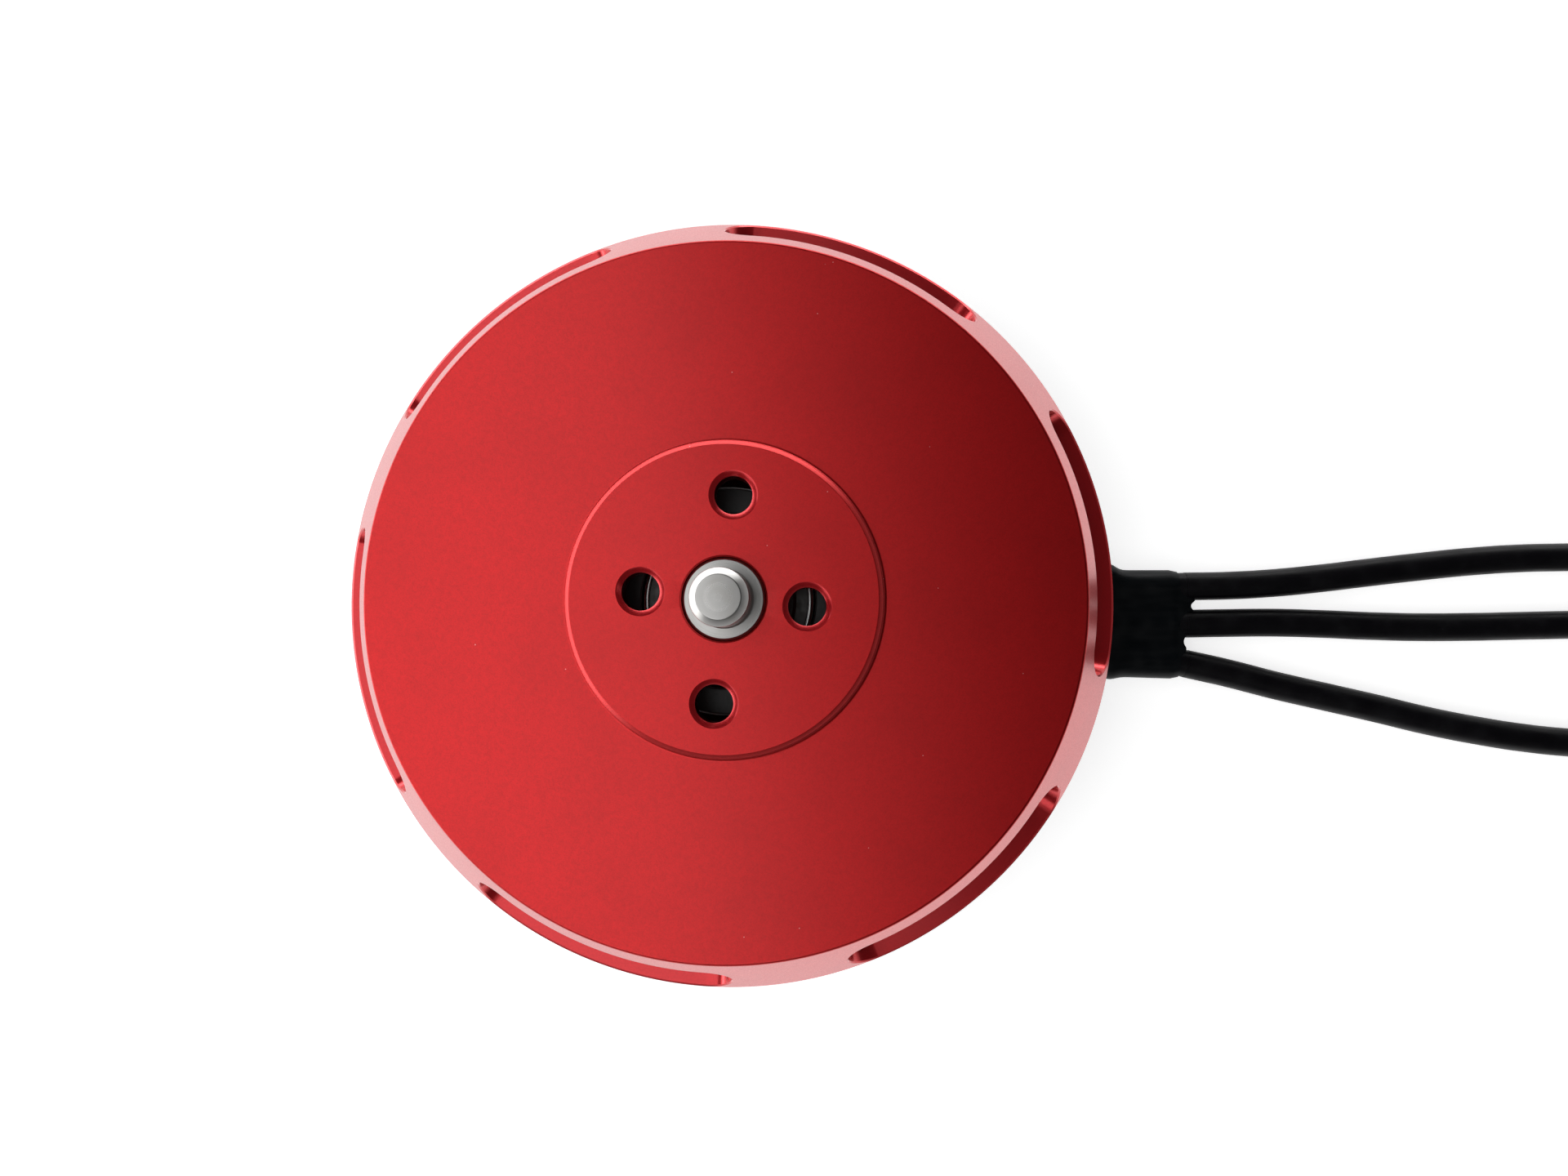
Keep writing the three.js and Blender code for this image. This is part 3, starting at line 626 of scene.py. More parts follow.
def make_floor_white():
    """A plain pale light table, clear from below so that the motor's underside can be seen."""
    finish = Finish("floor_white", (0.9, 0.9, 0.9), 0.8)
    finish.shade(finish.noise(40, 2), 0.01, 0.4, 0.8)
    finish.set(Emission_Color=(1, 1, 1, 1), Emission_Strength=0.7)
    tree = finish.tree
    output = next(n for n in tree.nodes if n.type == "OUTPUT_MATERIAL")
    clear = finish.node("ShaderNodeBsdfTransparent")
    below = finish.node("ShaderNodeNewGeometry").outputs["Backfacing"]
    mix = finish.node("ShaderNodeMixShader")
    finish.feed(mix.inputs[0], below)
    finish.feed(mix.inputs[1], finish.shader.outputs[0])
    finish.feed(mix.inputs[2], clear.outputs[0])
    finish.feed(output.inputs["Surface"], mix.outputs[0])
    return finish.material


RED = make_red_anodised()
RED_MACHINED = make_red_machined()
THREAD_PAINTED_SHADE = make_thread_painted_shade()
BLACK = make_black_anodised()
RING_STEEL = make_ring_steel()
GROUND_STEEL = make_ground_steel()
BEARING_STEEL = make_bearing_steel()
SPRING_STEEL = make_spring_steel()
NICKEL = make_nickel()
LAMINATIONS = make_laminations()
INSULATOR = make_insulator()
COPPER = make_copper()
SILICONE = make_silicone()
HEAT_SHRINK = make_heat_shrink()
GOLD = make_gold()


# ---- the leads, their sleeve and their connectors ----

LEAD_DIAMETER = 4.0
LEAD_PITCH = 5.3

# The leads' free routes from the sleeve's end to their connectors, in metres. All three lie at the
# same heights at the same steps along X, and each has its own places across.
ROUTE_X = [0.064, 0.070, 0.077, 0.084, 0.091, 0.098, 0.105, 0.112, 0.119, 0.127, 0.135, 0.143, 0.151,
           0.159, 0.167, 0.175, 0.183]
ROUTE_Z = [0.00245, 0.00235, 0.0022, 0.0021] + [0.00205] * 8 + [0.0021, 0.0023, 0.0025, 0.00265, 0.0027]
ROUTES_Y = {
    "lead_a": [0.0026, 0.0027, 0.0031, 0.0038, 0.00465, 0.00545, 0.00615, 0.0066, 0.00675, 0.0069,
               0.0071, 0.0074, 0.0077, 0.0080, 0.0082, 0.0083, 0.0083],
    "lead_b": [-0.00275, -0.00265, -0.0026, -0.0028, -0.0031, -0.00325, -0.0032, -0.00305, -0.0029,
               -0.0028, -0.0028, -0.0029, -0.0031, -0.0033, -0.0034, -0.0035, -0.0035],
    "lead_c": [-0.00845, -0.0098, -0.0116, -0.0132, -0.0148, -0.0165, -0.0179, -0.0190, -0.0197,
               -0.0201, -0.0202, -0.0201, -0.0199, -0.0196, -0.0194, -0.0193, -0.0193],
}
LEAD_ROUTES = {name: list(zip(ROUTE_X, across, ROUTE_Z)) for name, across in ROUTES_Y.items()}


def make_lead(name, route):
    """A smooth round lead through its route's points."""
    data = bpy.data.curves.new(name, "CURVE")
    data.dimensions = "3D"
    data.bevel_depth = LEAD_DIAMETER / 2 * MM
    data.bevel_resolution = 8
    data.resolution_u = 10
    data.use_fill_caps = True
    spline = data.splines.new("BEZIER")
    spline.bezier_points.add(len(route) - 1)
    for bezier_point, point in zip(spline.bezier_points, route):
        bezier_point.co = point
        bezier_point.handle_left_type = "AUTO"
        bezier_point.handle_right_type = "AUTO"
    data.materials.append(SILICONE)
    return place(add_object(name + "_wire", data), "stator", "lead_silicone", name)


def route_length(route):
    return sum((Vector(b) - Vector(a)).length for a, b in zip(route, route[1:]))


def fitting_size(name):
    """Where a lead's fitting starts, how long it is along X, and its radius."""
    low, high = node_box(name)
    start = Vector((low.x, (low.y + high.y) / 2, (low.z + high.z) / 2))
    return start, high.x - low.x, (high.z - low.z) / 2


def make_shrink(lead_name):
    """Heat-shrink over the solder joint: snug on the lead, wider over the connector's cup."""
    start, length, full_r = fitting_size(lead_name + "_shrink")
    snug_r = LEAD_DIAMETER / 2 + 0.12
    piece = turned(lead_name + "_shrink_tube", HEAT_SHRINK, [
        (0, 0, 0), (snug_r, 0, 0.1), (snug_r, 1.2, 0.6), (full_r - 0.1, 3.2, 1), (full_r, 7, 2),
        (full_r - 0.15, length - 1.2, 0.8), (full_r - 0.35, length, 0.15), (0, length, 0),
    ], segments=64, on_axis=True, turn=Z_TO_X, start=start)
    for vertex in piece.data.vertices:
        ripple = noise.noise(Vector(vertex.co) / (1.3 * MM)) * 0.05 * MM
        outward = vertex.co - Vector((vertex.co.x, start.y * MM, start.z * MM))
        if outward.length > MM:
            vertex.co -= outward.normalized() * (abs(ripple) + 0.02 * MM)
    return place(piece, "stator", "heat_shrink", lead_name + "_shrink")


def make_bullet(lead_name):
    """A bullet connector: a collar, then a bulged spring section slit into four leaves."""
    start, length, collar_r = fitting_size(lead_name + "_bullet")
    neck_r = 1.6
    spring_r = 1.98
    piece = turned(lead_name + "_bullet_pin", GOLD, [
        (0, 0, 0), (collar_r, 0, 0.15), (collar_r, 1.5, 0.2), (neck_r, 1.9, 0.15), (neck_r, 2.6, 0.3),
        (spring_r, 5.2, 3), (spring_r, 7.6, 3), (neck_r, 10.6, 0.3), (1.45, 11.2, 0.3),
        (1.0, length - 0.2, 0.5), (0.6, length, 0.1), (0, length, 0),
    ], segments=48, on_axis=True, turn=Z_TO_X, start=start)
    slit_length, slit_width, slit_middle = 7.4, 0.28, 6.4
    slits = bmesh.new()
    for turn in (0, math.pi / 2):
        add_block(slits, (slit_length, slit_width, 6), start + Vector((slit_middle, 0, 0)),
                  Matrix.Rotation(turn + math.pi / 4, 3, "X"))
    cut_away(piece, slits, GOLD)
    return place(piece, "stator", "gold_plate", lead_name + "_bullet")


def sleeve_section(x, wall):
    """The sleeve's outline at x, as (y, z) offsets: three leads side by side under one skin."""
    skin_r = (SLEEVE_HIGH.z - SLEEVE_LOW.z) / 2 - wall
    reach = (x - SLEEVE_LOW.x) / (SLEEVE_HIGH.x - SLEEVE_LOW.x)
    dip = (0.12 + 0.5 * max(0, reach) ** 3) * (1 if wall == 0 else 0.9)
    points = []
    steps = 48
    for side in (1, -1):
        for k in range(steps):
            y = side * LEAD_PITCH * (1 - 2 * k / steps)
            z = skin_r - dip * math.sin(math.pi * y / LEAD_PITCH) ** 2
            points.append((y, side * z))
        for k in range(12):
            angle = math.pi / 2 + math.pi * k / 12
            y = side * (-LEAD_PITCH + skin_r * math.cos(angle))
            points.append((y, side * skin_r * math.sin(angle)))
    return points


def make_sleeve():
    """The flat heat-shrink sleeve, whose outer end is pinched into a hollow-edged web between leads."""
    main_end = SLEEVE_HIGH.x - 0.7
    mouth_x = 53.2
    half_width = 7.5
    wall = 0.32
    stations = 40

    def end_x(y):
        if abs(y) >= LEAD_PITCH:
            return main_end
        web_length = 1.9 if y > 0 else 0.7
        off_middle = abs(abs(y) - LEAD_PITCH / 2)
        horn = (0.6 if y > 0 else 0.35) * min(1, (off_middle / 0.8) ** 2)
        over_lead = min(1, max(0, (off_middle - 1.1) / 1.3))
        return main_end + (web_length + horn) * (0.5 + 0.5 * math.cos(math.pi * over_lead))

    bm = bmesh.new()
    skins = []
    for depth in (0, wall):
        rings = []
        for i in range(stations + 1):
            share = i / stations
            ring = []
            for y, z in sleeve_section(SLEEVE_LOW.x + share * (main_end - SLEEVE_LOW.x), depth):
                x = SLEEVE_LOW.x + share * (end_x(y) - SLEEVE_LOW.x)
                pinch = max(0, (x - main_end + 0.6) / 3) if abs(y) < LEAD_PITCH else 0
                flare = (0.95 if y > 0 else 0.35) * math.exp(-((x - mouth_x) / 1.2) ** 2)
                spread = 0.35 * max(0, (x - 50) / 12) if y < 0 else 0
                taper = 0.22 * max(0, x - main_end + 1)
                swell = 1 + (flare + spread - taper) / half_width
                wave = 0.06 * noise.noise(Vector((x * 0.45, y * 0.5, z)))
                z *= (1 - 0.62 * min(1, pinch)) * (1 + wave)
                ring.append(bm.verts.new((x, SLEEVE_CENTRE_Y + y * swell, SLEEVE_CENTRE_Z + z)))
            rings.append(ring)
        skins.append(rings)
        skin(bm, rings, capped=False)
    outer, inner = skins
    for end in (0, -1):
        bridge(bm, outer[end], inner[end])
    sleeve = finish_mesh(bm, "lead_sleeve_skin", HEAT_SHRINK, crease=50)
    return place(sleeve, "stator", "heat_shrink", "lead_sleeve")


def make_lead_roots():
    """The stretches of the three leads inside the sleeve, from the windings' side to its end."""
    bm = bmesh.new()
    start_x = SLEEVE_LOW.x + 0.6
    bend_x = 58
    for route in LEAD_ROUTES.values():
        exit_point = Vector(route[0]) / MM
        next_point = Vector(route[1]) / MM
        lane = SLEEVE_CENTRE_Y + round((exit_point.y - SLEEVE_CENTRE_Y) / LEAD_PITCH) * LEAD_PITCH
        slope = (exit_point - next_point).normalized()
        points = [Vector((start_x + (bend_x - start_x) * k / 6, lane, SLEEVE_CENTRE_Z)) for k in range(7)]
        points += [exit_point + slope * 3, exit_point + slope * 1.5, exit_point + slope * 0.02]
        add_tube(bm, points, LEAD_DIAMETER / 2 - 0.04, sides=24)
    roots = finish_mesh(bm, "lead_roots", SILICONE, crease=50)
    return place(roots, "stator", "lead_silicone")


def add_leads():
    """The sleeve, the roots, and the three leads with their heat-shrink and bullets."""
    sleeve = make_sleeve()
    roots = make_lead_roots()
    for name, route in LEAD_ROUTES.items():
        on_lead = [make_shrink(name), make_bullet(name)]
        if name == "lead_b":
            on_lead += [sleeve, roots]
        make_lead(name, route)
        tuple(route[0])
        route_length(route)


add_leads()


# ---- the bell ----

def shoulder_r(z):
    return RIM_R - (z - RIM_TOP_Z) * SHOULDER_SLOPE


def add_vent(bm, centre_degrees):
    """One racetrack vent, cut square to the shaft, with a small chamfer at its outer mouth."""
    middle_z = (VENT_TOP_Z + VENT_BOTTOM_Z) / 2
    half_height = (VENT_TOP_Z - VENT_BOTTOM_Z) / 2
    middle_r = 47.5
    half_length = math.radians(VENT_SPAN / 2) * middle_r
    chamfer = 0.18
    outside = 1.2
    through = 6
    levels = [(-outside, chamfer), (-0.02, chamfer), (chamfer, 0), (through, 0)]
    add_slot_cutter(bm, centre_degrees, middle_r, half_length, half_height, half_height, levels,
                    lambda up, depth: (shoulder_r(middle_z + up) - depth, middle_z + up))


def add_tapped_hole(bm, x, y, bottom_z, top_z, minor_r, pitch, mouth_r):
    """A cutter for a tapped hole: a helical thread that runs out under a smooth countersunk mouth."""
    sides = 48
    rows_per_turn = 6
    mouth_depth = 0.85 * (mouth_r - minor_r)
    thread_depth = 0.45 * pitch
    thread_top = top_z - mouth_depth - 0.25
    levels = []
    z = bottom_z - 1
    while z < thread_top:
        levels.append((z, minor_r, thread_depth * min(1, (thread_top - z) / pitch)))
        z += pitch / rows_per_turn
    flare = 0.25 * mouth_depth
    levels += [
        (top_z - mouth_depth, minor_r, 0), (top_z - flare, mouth_r - 1.1 * flare, 0),
        (top_z, mouth_r + flare, 0), (top_z + 0.5, mouth_r + flare, 0),
    ]
    rings = []
    for z, radius, depth in levels:
        ring = []
        for k in range(sides):
            turn = (z / pitch - k / sides) % 1
            thread = depth * max(0, 1 - abs(2 * turn - 1) * 1.25)
            px, py = polar(radius + thread, 360 * k / sides)
            ring.append(bm.verts.new((x + px, y + py, z)))
        rings.append(ring)
    for band, (_, _, depth) in zip(skin(bm, rings), levels):
        for face in band:
            # Thread faces take the cutters' second material; in the bell that is the dark thread material
            # with painted shade.
            face.material_index = 1 if depth > 0 else 0


def make_bell():
    """The turned shell, with its vents and propeller holes cut through."""
    edge = 0.12
    boss_chamfer, boss_chamfer_depth = 0.54, 0.42
    hole_r, hole_pitch, hole_mouth_r = 2.3, 0.8, 2.85
    bell = turned("bell_shell", RED, [
        (HUB_BORE_R, HUB_BOTTOM_Z, edge),
        (HUB_R, HUB_BOTTOM_Z, 0.3),
        (HUB_R, UNDERSIDE_Z, 0.8),
        (shoulder_r(UNDERSIDE_Z) - SHOULDER_THICKNESS, UNDERSIDE_Z, 1),
        (shoulder_r(SPIGOT_LEDGE_Z) - SHOULDER_THICKNESS, SPIGOT_LEDGE_Z, 0.5),
        (SPIGOT_INNER_R, SPIGOT_LEDGE_Z, edge),
        (SPIGOT_INNER_R, SPIGOT_BOTTOM_Z, edge),
        (SPIGOT_R, SPIGOT_BOTTOM_Z, edge),
        (SPIGOT_R, RIM_BOTTOM_Z, 0),
        (RIM_R, RIM_BOTTOM_Z, edge),
        (RIM_R, RIM_TOP_Z, 0.25),
        (FACE_R, FACE_Z, 0.45),
        (BOSS_R, FACE_Z, 0.5),
        (BOSS_R, BOSS_TOP_Z - boss_chamfer_depth, 0.1),
        (BOSS_R - boss_chamfer, BOSS_TOP_Z, 0.12),
        (HUB_BORE_R + 0.2, BOSS_TOP_Z, 0.06),
        (HUB_BORE_R, BOSS_TOP_Z - 0.12, 0),
    ], segments=256, steps=5)
    cutters = bmesh.new()
    for i in range(VENT_COUNT):
        add_vent(cutters, VENT_PHASE + 360 * i / VENT_COUNT)
    for i, circle_r in enumerate(PROP_HOLE_CIRCLES):
        x, y = polar(circle_r, REST_ANGLE + 90 * i)
        add_tapped_hole(cutters, x, y, UNDERSIDE_Z, BOSS_TOP_Z, hole_r, hole_pitch, hole_mouth_r)
    # The bell's threads take the dark material with painted shade.
    cut_away(bell, cutters, RED_MACHINED, THREAD_PAINTED_SHADE, crease=20)
    return place(bell, "rotor", "red_anodised", "bell")


def make_shaft():
    """The shaft, from the circlip's groove at its foot to the slimmer stub above its collar."""
    collar_z = BOSS_TOP_Z - 0.3
    stub_r = 3.4
    chamfer, chamfer_depth = 0.85, 0.74
    groove_r, groove_low, groove_high = 4.6, 1.1, 2.1
    shaft = turned("shaft_turned", GROUND_STEEL, [
        (0, SHAFT_LOW.z, 0),
        (SHAFT_R - 0.3, SHAFT_LOW.z, 0.05),
        (SHAFT_R, SHAFT_LOW.z + 0.3, 0.05),
        (SHAFT_R, groove_low, 0.03),
        (groove_r, groove_low, 0.05),
        (groove_r, groove_high, 0.05),
        (SHAFT_R, groove_high, 0.03),
        (SHAFT_R, collar_z - 0.3, 0.05),
        (SHAFT_R - 0.3, collar_z, 0.05),
        (stub_r, collar_z, 0.25),
        (stub_r, SHAFT_TOP_Z - chamfer_depth, 0.2),
        (stub_r - chamfer, SHAFT_TOP_Z, 0.2),
        (0, SHAFT_TOP_Z, 0),
    ], segments=128, on_axis=True)
    return place(shaft, "rotor", "bright_steel", "shaft")


def make_flux_ring():
    bore_r = 46.6
    ring = turned("flux_ring_turned", RING_STEEL, [
        (bore_r, RING_LOW.z, 0.3), (RIM_R, RING_LOW.z, 0.5),
        (RIM_R, RING_HIGH.z, 0.2), (bore_r, RING_HIGH.z, 0.2),
    ], segments=256)
    return place(ring, "rotor", "dark_steel", "flux_ring")


def make_magnet_glue():
    """Beads of epoxy that hold the magnets, one in each gap between two of them."""
    bm = bmesh.new()
    pole_count = 28
    bead_circle_r = 46.05
    bead_bottom, bead_length = 6.7, 10.2
    for i in range(pole_count):
        x, y = polar(bead_circle_r, REST_ANGLE + 360 * (i + 0.5) / pole_count)
        points = [(x, y, bead_bottom + bead_length * k / 12) for k in range(13)]
        radii = [0.45 + 0.12 * noise.noise(Vector((i * 3.7, k * 0.9, 0))) for k in range(13)]
        add_tube(bm, points, radii)
    glue = finish_mesh(bm, "magnet_glue", INSULATOR)
    return place(glue, "rotor", "insulator")


def dress_magnets():
    """The magnets keep their CAD solids, with softened edges and nickel plate."""
    for name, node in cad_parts.items():
        if name.startswith("magnet_"):
            dress(node, NICKEL)
            bevel = node.modifiers.new("soft_edges", "BEVEL")
            bevel.width = 0.25 * MM
            bevel.segments = 2


def make_circlip():
    """An open retaining ring with an eye at each end."""
    bm = bmesh.new()
    low, high = node_box("shaft_circlip")
    bore_r, ring_r = 4.72, 6.05
    gap = 24
    steps = 72
    outer, inner = [], []
    for k in range(steps + 1):
        degrees = gap + (360 - 2 * gap) * k / steps
        share = abs(2 * k / steps - 1)
        eye = 0.55 * math.exp(-((1 - share) * 22) ** 2)
        outer.append(polar(ring_r + 0.5 * (1 - share) + eye, degrees))
        inner.append(polar(bore_r, degrees))
    outline = outer + inner[::-1]
    skin(bm, [[bm.verts.new((x, y, z)) for x, y in outline] for z in (low.z, high.z)])
    clip = finish_mesh(bm, "shaft_circlip_ring", SPRING_STEEL)
    return place(clip, "rotor", "dark_steel", "shaft_circlip")


def make_set_screw(number):
    """A set screw with a hexagon socket, in the hub's wall."""
    name = f"hub_set_screw_{number}"
    low, high = node_box(name)
    centre = (low + high) / 2
    direction = Vector((centre.x, centre.y, 0)).normalized()
    length = 2.4
    screw_r = 1.2
    socket_r = 0.72
    turn = direction.to_track_quat("Z", "Y").to_matrix()
    start = centre - direction * length / 2
    screw = turned(name + "_grub", SPRING_STEEL, [
        (0, 0, 0), (screw_r - 0.2, 0, 0.05), (screw_r, 0.2, 0.05), (screw_r, length - 0.12, 0.05),
        (screw_r - 0.1, length, 0.03), (0, length, 0),
    ], segments=48, on_axis=True, turn=turn, start=start)
    socket = bmesh.new()
    bmesh.ops.create_cone(socket, cap_ends=True, segments=6, radius1=socket_r, radius2=socket_r, depth=1.6)
    bmesh.ops.rotate(socket, verts=socket.verts, matrix=turn)
    bmesh.ops.translate(socket, verts=socket.verts, vec=start + direction * length)
    cut_away(screw, socket, SPRING_STEEL)
    return place(screw, "rotor", "dark_steel", name)


def make_thrust_washer():
    low, high = node_box("thrust_washer")
    bore_r, washer_r = 5.1, 6.8
    washer = turned("thrust_washer_turned", BEARING_STEEL, [
        (bore_r, low.z, 0.05), (washer_r, low.z, 0.08), (washer_r, high.z, 0.08), (bore_r, high.z, 0.05),
    ], segments=96)
    return place(washer, "rotor", "bright_steel", "thrust_washer")


def add_rotor():
    make_bell()
    make_shaft()
    make_flux_ring()
    make_magnet_glue()
    dress_magnets()
    make_circlip()
    for number in (1, 2):
        make_set_screw(number)
    make_thrust_washer()


add_rotor()


# ---- the bearings ----

def make_race(name, body, plain_r, land_r, groove):
    """One race: a ring with a round groove for the balls in the face at land_r."""
    low, high = node_box(name)
    middle = (low.z + high.z) / 2
    half_groove = 1.2
    floor_r = land_r + groove
    seat_r = land_r + 2.4 * groove
    seat_depth = 0.55
    race = turned(name + "_turned", BEARING_STEEL, [
        (plain_r, low.z, 0.6), (seat_r, low.z, 0.1),
        (seat_r, low.z + seat_depth, 0), (land_r, low.z + seat_depth, 0),
        (land_r, middle - half_groove, 0.05), (floor_r, middle - 0.5, 0.4),
        (floor_r, middle + 0.5, 0.4), (land_r, middle + half_groove, 0.05),
        (land_r, high.z - seat_depth, 0), (seat_r, high.z - seat_depth, 0),
        (seat_r, high.z, 0.1), (plain_r, high.z, 0.6),
    ], segments=128)
    return place(race, body, "bright_steel", name)


def make_balls(label):
    """A bearing's seven balls, in the pressed cage that spaces them."""
    name = label + "_bearing_balls"
    low, high = node_box(name)
    middle = (low.z + high.z) / 2
    ball_count = 7
    ball_r = 1.4
    circle_r = 8
    bm = bmesh.new()
    for i in range(ball_count):
        x, y = polar(circle_r, 360 * i / ball_count)
        ball = bmesh.ops.create_uvsphere(bm, u_segments=24, v_segments=16, radius=ball_r)["verts"]
        bmesh.ops.translate(bm, verts=ball, vec=(x, y, middle))
    wave_steps = 140
    for side in (1, -1):
        points = []
        for k in range(wave_steps):
            angle = 360 * k / wave_steps
            lift = 0.9 * abs(math.cos(math.radians(angle * ball_count / 2))) + 0.15
            points.append((*polar(circle_r, angle), middle + side * lift))
        add_tube(bm, points, 0.28, sides=6, closed_loop=True)
    balls = finish_mesh(bm, name + "_and_cage", BEARING_STEEL)
    return place(balls, label + "_balls", "bright_steel", name)


def make_shield(label):
    """The dark pressed shield, whose rim sits in a step of the outer race."""
    name = label + "_bearing_shield"
    low, high = node_box(name)
    bore_r, rim_r = 7.05, 10.14
    shield = turned(name + "_pressed", SPRING_STEEL, [
        (bore_r, low.z + 0.08, 0.05), (7.7, low.z + 0.08, 0.1), (8.1, low.z, 0.1), (rim_r, low.z, 0.05),
        (rim_r, high.z, 0.15), (8.6, high.z, 0.2), (8.2, high.z - 0.12, 0.2), (bore_r, high.z - 0.12, 0.05),
    ], segments=128)
    return place(shield, "stator", "dark_steel", name)


def add_bearings():
    bore_r, inner_land_r = 5.03, 6.9
    outside_r, outer_land_r = 11, 9.1
    groove = 0.45
    for label in ("upper", "lower"):
        make_race(label + "_bearing_inner_race", "rotor", bore_r, inner_land_r, -groove)
        make_race(label + "_bearing_outer_race", "stator", outside_r, outer_land_r, groove)
        make_balls(label)
        make_shield(label)


add_bearings()


# ---- the base ----

PLATE_BOTTOM_Z = 2
PLATE_TOP_Z = 4.5
WINDOW_PHASE = -4.2


def add_window(bm, centre_degrees):
    """One window through the base plate, its corners rounded and both mouths chamfered."""
    inner_r, outer_r = 30, 43
    middle_r = (inner_r + outer_r) / 2
    half_length = math.radians(21) * middle_r
    chamfer = 0.25
    levels = [
        (PLATE_BOTTOM_Z - 1, chamfer), (PLATE_BOTTOM_Z, chamfer), (PLATE_BOTTOM_Z + chamfer, 0),
        (PLATE_TOP_Z - chamfer, 0), (PLATE_TOP_Z, chamfer), (PLATE_TOP_Z + 1, chamfer),
    ]
    add_slot_cutter(bm, centre_degrees, middle_r, half_length, (outer_r - inner_r) / 2, 2.2, levels,
                    lambda up, depth: (middle_r + up, depth))


def make_base():
    """The mounting disc and windowed plate, the core's seat and the bearing tube, turned as one."""
    edge = 0.15
    lip_r, bearing_r, tube_r = 9.9, 11.03, 14.5
    disc_r, seat_inner_r, seat_r, step_r = 24, 24.6, 27.6, 29.5
    step_z, seat_top_z, tube_top_z = 6.7, 16.5, 23.9
    base = turned("base_turned", BLACK, [
        (lip_r, 0, 0.3),
        (disc_r, 0, 0.4),
        (disc_r, PLATE_BOTTOM_Z, 0.5),
        (PLATE_R, PLATE_BOTTOM_Z, 0.6),
        (PLATE_R, PLATE_TOP_Z, 0.3),
        (step_r, PLATE_TOP_Z, 0.5),
        (step_r, step_z, edge),
        (seat_r, step_z, 0),
        (seat_r, seat_top_z, 0.4),
        (seat_inner_r, seat_top_z, 0.3),
        (seat_inner_r, PLATE_TOP_Z, 1),
        (tube_r, PLATE_TOP_Z, 1),
        (tube_r, tube_top_z, 0.4),
        (bearing_r, tube_top_z, 0.25),
        (bearing_r, 2.1, 0),
        (lip_r, 2.1, 0),
    ])
    cutters = bmesh.new()
    for i in range(6):
        add_window(cutters, WINDOW_PHASE + 60 * i)
    mount_circle_r = 18
    for i in range(4):
        x, y = polar(mount_circle_r, 45 + 90 * i)
        add_tapped_hole(cutters, x, y, -1, PLATE_TOP_Z, minor_r=1.65, pitch=0.7, mouth_r=1.9)
    cut_away(base, cutters, BLACK)
    notch_inner_x, notch_length, notch_width = 39, 16, 15.7
    notch = bmesh.new()
    notch_centre = (notch_inner_x + notch_length / 2, SLEEVE_CENTRE_Y, 3.25)
    add_block(notch, (notch_length, notch_width, 6), notch_centre)
    cut_away(base, notch, BLACK)
    return place(base, "stator", "black_anodised", "base_mount")


make_base()


# ---- the stator ----

def tooth_frame(index):
    """Turns (across, up, outward) about a tooth into a place in the row frame."""
    angle = math.radians(TOOTH_PHASE + 360 * index / TOOTH_COUNT)
    outward = Vector((math.cos(angle), math.sin(angle), 0))
    across = Vector((-math.sin(angle), math.cos(angle), 0))
    return lambda a, z, r: outward * r + across * a + Vector((0, 0, z))


def add_coil(bm, index):
    """Two layers of wire wound round a tooth, out along it and back again."""
    to_space = tooth_frame(index)
    wire = 0.9
    opening_half = 2.3
    opening_low, opening_high = 6.75, 17.95
    first_r, last_r = 32.3, 40.3
    turns = int((last_r - first_r) / (wire * 1.02))
    points = []
    for layer in range(2):
        half_width = opening_half + wire * (layer + 0.5)
        low = opening_low - wire * (layer + 0.5)
        high = opening_high + wire * (layer + 0.5)
        corner = 0.7 + 0.6 * layer
        loop = rounded_outline([
            (-half_width, low, corner), (half_width, low, corner),
            (half_width, high, corner), (-half_width, high, corner),
        ], steps=3)
        layer_turns = turns - layer
        for turn in range(layer_turns):
            for k, (across, up) in enumerate(loop):
                share = (turn + k / len(loop)) / layer_turns
                travel = share if layer == 0 else 1 - share
                start_r = first_r + layer * wire * 0.5
                points.append(to_space(across, up, start_r + travel * (last_r - start_r)))
    add_tube(bm, points, wire * 0.49, sides=7)


def add_link(bm, level, members):
    """A phase's link wire on the yoke, with a short riser to each of its coils."""
    link_r = 30.6
    wire_r = 0.33
    z = 18.3 + 0.75 * level
    ring = [(*polar(link_r, 5 * k), z) for k in range(72)]
    add_tube(bm, ring, wire_r, closed_loop=True)
    for index in members:
        to_space = tooth_frame(index)
        knee = to_space(0.8, 18.6 + 0.3 * level, 31.4)
        riser = [to_space(0.4, z, link_r), knee, to_space(1.2, 18.7, 32.3)]
        add_tube(bm, riser, wire_r)


def add_tail(bm, start, lane_y):
    """Three strands from a coil down through the base's window to the sleeve's mouth."""
    mouth = Vector((SLEEVE_LOW.x + 0.5, lane_y, SLEEVE_CENTRE_Z))
    begin = Vector(start)
    knee = Vector((begin.x + 1.5, begin.y * 0.9 + lane_y * 0.1, 3.4))
    middle = Vector((38, begin.y * 0.45 + lane_y * 0.55, SLEEVE_CENTRE_Z))
    strands = 3
    strand_r, twist_r = 0.42, 0.46
    for strand in range(strands):
        points = []
        steps = 24
        for k in range(steps + 1):
            t = k / steps
            a = begin.lerp(knee, t)
            b = knee.lerp(middle, t)
            c = middle.lerp(mouth, t)
            centre = a.lerp(b, t).lerp(b.lerp(c, t), t)
            twist = FULL_TURN * (strand / strands + 1.4 * t)
            offset = Vector((0, math.cos(twist), math.sin(twist))) * twist_r
            points.append(centre + offset)
        add_tube(bm, points, strand_r)


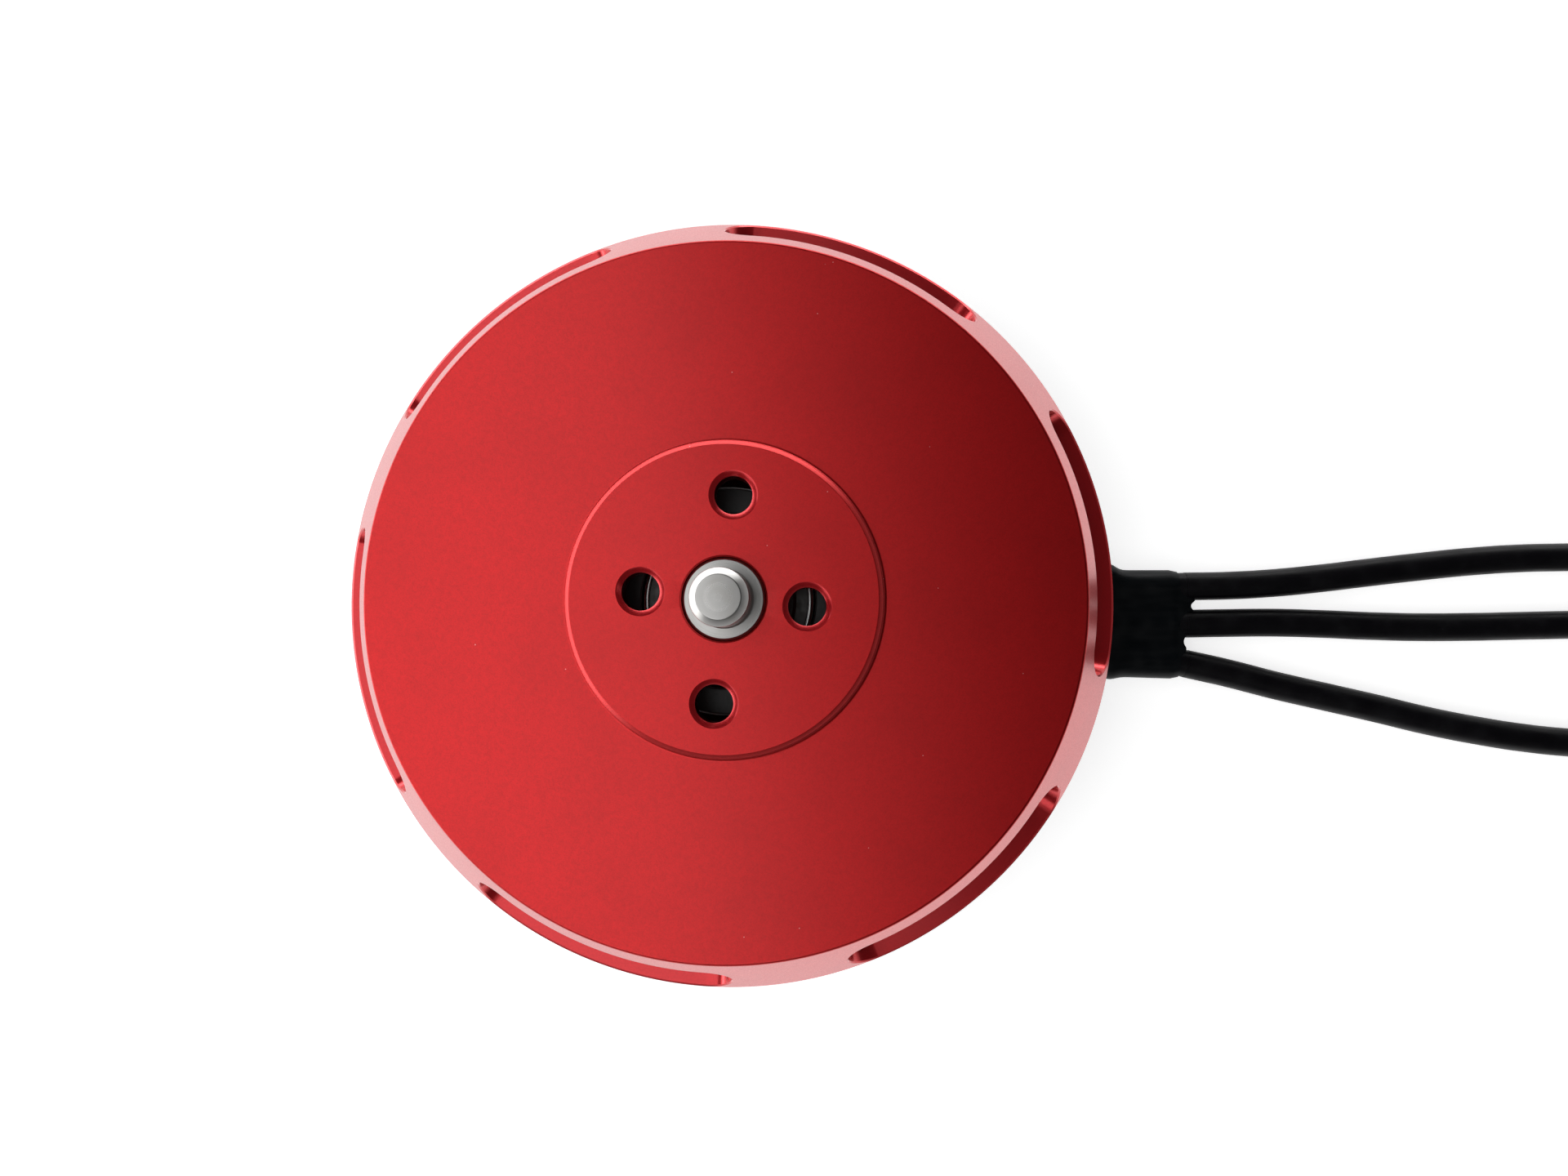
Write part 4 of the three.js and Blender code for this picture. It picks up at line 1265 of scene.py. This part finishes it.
def make_phase(letter, level, tail_start, lane_y):
    """One phase's eight coils, its link wire at its own level, and its tail to the sleeve."""
    members = [i for i in range(TOOTH_COUNT) if PHASE_PATTERN[i % len(PHASE_PATTERN)] == letter]
    bm = bmesh.new()
    for index in members:
        add_coil(bm, index)
    add_link(bm, level, members)
    add_tail(bm, tail_start, lane_y)
    name = f"phase_{letter.lower()}_winding"
    winding = finish_mesh(bm, name + "_wire", COPPER, crease=60)
    return place(winding, "stator", "copper", name)


def add_stator():
    make_phase("A", 0, (32.6, 8.2, 6), SLEEVE_CENTRE_Y + LEAD_PITCH)
    make_phase("B", 1, (33.6, -0.2, 6), SLEEVE_CENTRE_Y)
    make_phase("C", 2, (31, -12.9, 6), SLEEVE_CENTRE_Y - LEAD_PITCH)
    for name, material in (("stator_core", LAMINATIONS), ("upper_insulator", INSULATOR),
                           ("lower_insulator", INSULATOR)):
        dress(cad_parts[name], material)


add_stator()


# ---- floor and light ----

def make_floor():
    """A wide flat table, just under the motor."""
    bm = bmesh.new()
    half = 2500
    clearance = 0.05
    places = ((-half, -half), (half, -half), (half, half), (-half, half))
    corners = [bm.verts.new((x, y, -clearance)) for x, y in places]
    bm.faces.new(corners)
    finish_mesh(bm, "floor", make_floor_white(), closed=False)


def add_softbox(name, place_mm, size_mm, radiance, roll_degrees=0):
    """A square-cornered soft light that shines straight down with an even brightness."""
    data = bpy.data.lights.new(name, "AREA")
    data.shape = "RECTANGLE"
    data.size, data.size_y = (side * MM for side in size_mm)
    data.energy = radiance * math.pi * data.size * data.size_y
    light = add_object(name, data)
    light.location = Vector(place_mm) * MM
    light.rotation_euler = (0, 0, math.radians(roll_degrees))


def make_room():
    """A studio with a dark ceiling and pale walls, brightest on the side away from the leads."""
    world = bpy.data.worlds.new("studio")
    world.use_nodes = True
    tree = world.node_tree
    background = tree.nodes["Background"]
    background.inputs["Color"].default_value = (1, 1, 1, 1)
    direction = tree.nodes.new("ShaderNodeTexCoord").outputs["Generated"]

    def ramp(toward, low, high, to_low, to_high):
        """Goes from to_low to to_high as a direction turns towards a vector."""
        dot = tree.nodes.new("ShaderNodeVectorMath")
        dot.operation = "DOT_PRODUCT"
        dot.inputs[1].default_value = toward
        tree.links.new(direction, dot.inputs[0])
        span = tree.nodes.new("ShaderNodeMapRange")
        span.interpolation_type = "SMOOTHSTEP"
        tree.links.new(dot.outputs["Value"], span.inputs["Value"])
        for socket, number in zip(span.inputs[1:5], (low, high, to_low, to_high)):
            socket.default_value = number
        return span.outputs[0]

    wall = ramp((-0.73, 0.68, 0), -0.15, 0.35, 0.6, 5.4)
    height = ramp((0, 0, 1), 0.06, 0.3, 1, 0)
    ceiling_light = 0.04
    strength = tree.nodes.new("ShaderNodeMath")
    strength.operation = "MULTIPLY_ADD"
    tree.links.new(wall, strength.inputs[0])
    tree.links.new(height, strength.inputs[1])
    strength.inputs[2].default_value = ceiling_light
    tree.links.new(strength.outputs[0], background.inputs["Strength"])
    bpy.context.scene.world = world


def make_lighting():
    """Two softboxes overhead, with a gap between them above the camera, inside the studio."""
    height = 1400
    middle_y = -350
    length = 2600
    roll = 9
    panels = [(-2400, -10, 1.4), (90, 190, 0.55)]
    for number, (left, right, radiance) in enumerate(panels):
        place_mm = ((left + right) / 2, middle_y, height - number)
        add_softbox(f"overhead_{number}", place_mm, (right - left, length), radiance, roll)
    make_room()
    bpy.context.scene.view_settings.view_transform = "Standard"


make_floor()
make_lighting()
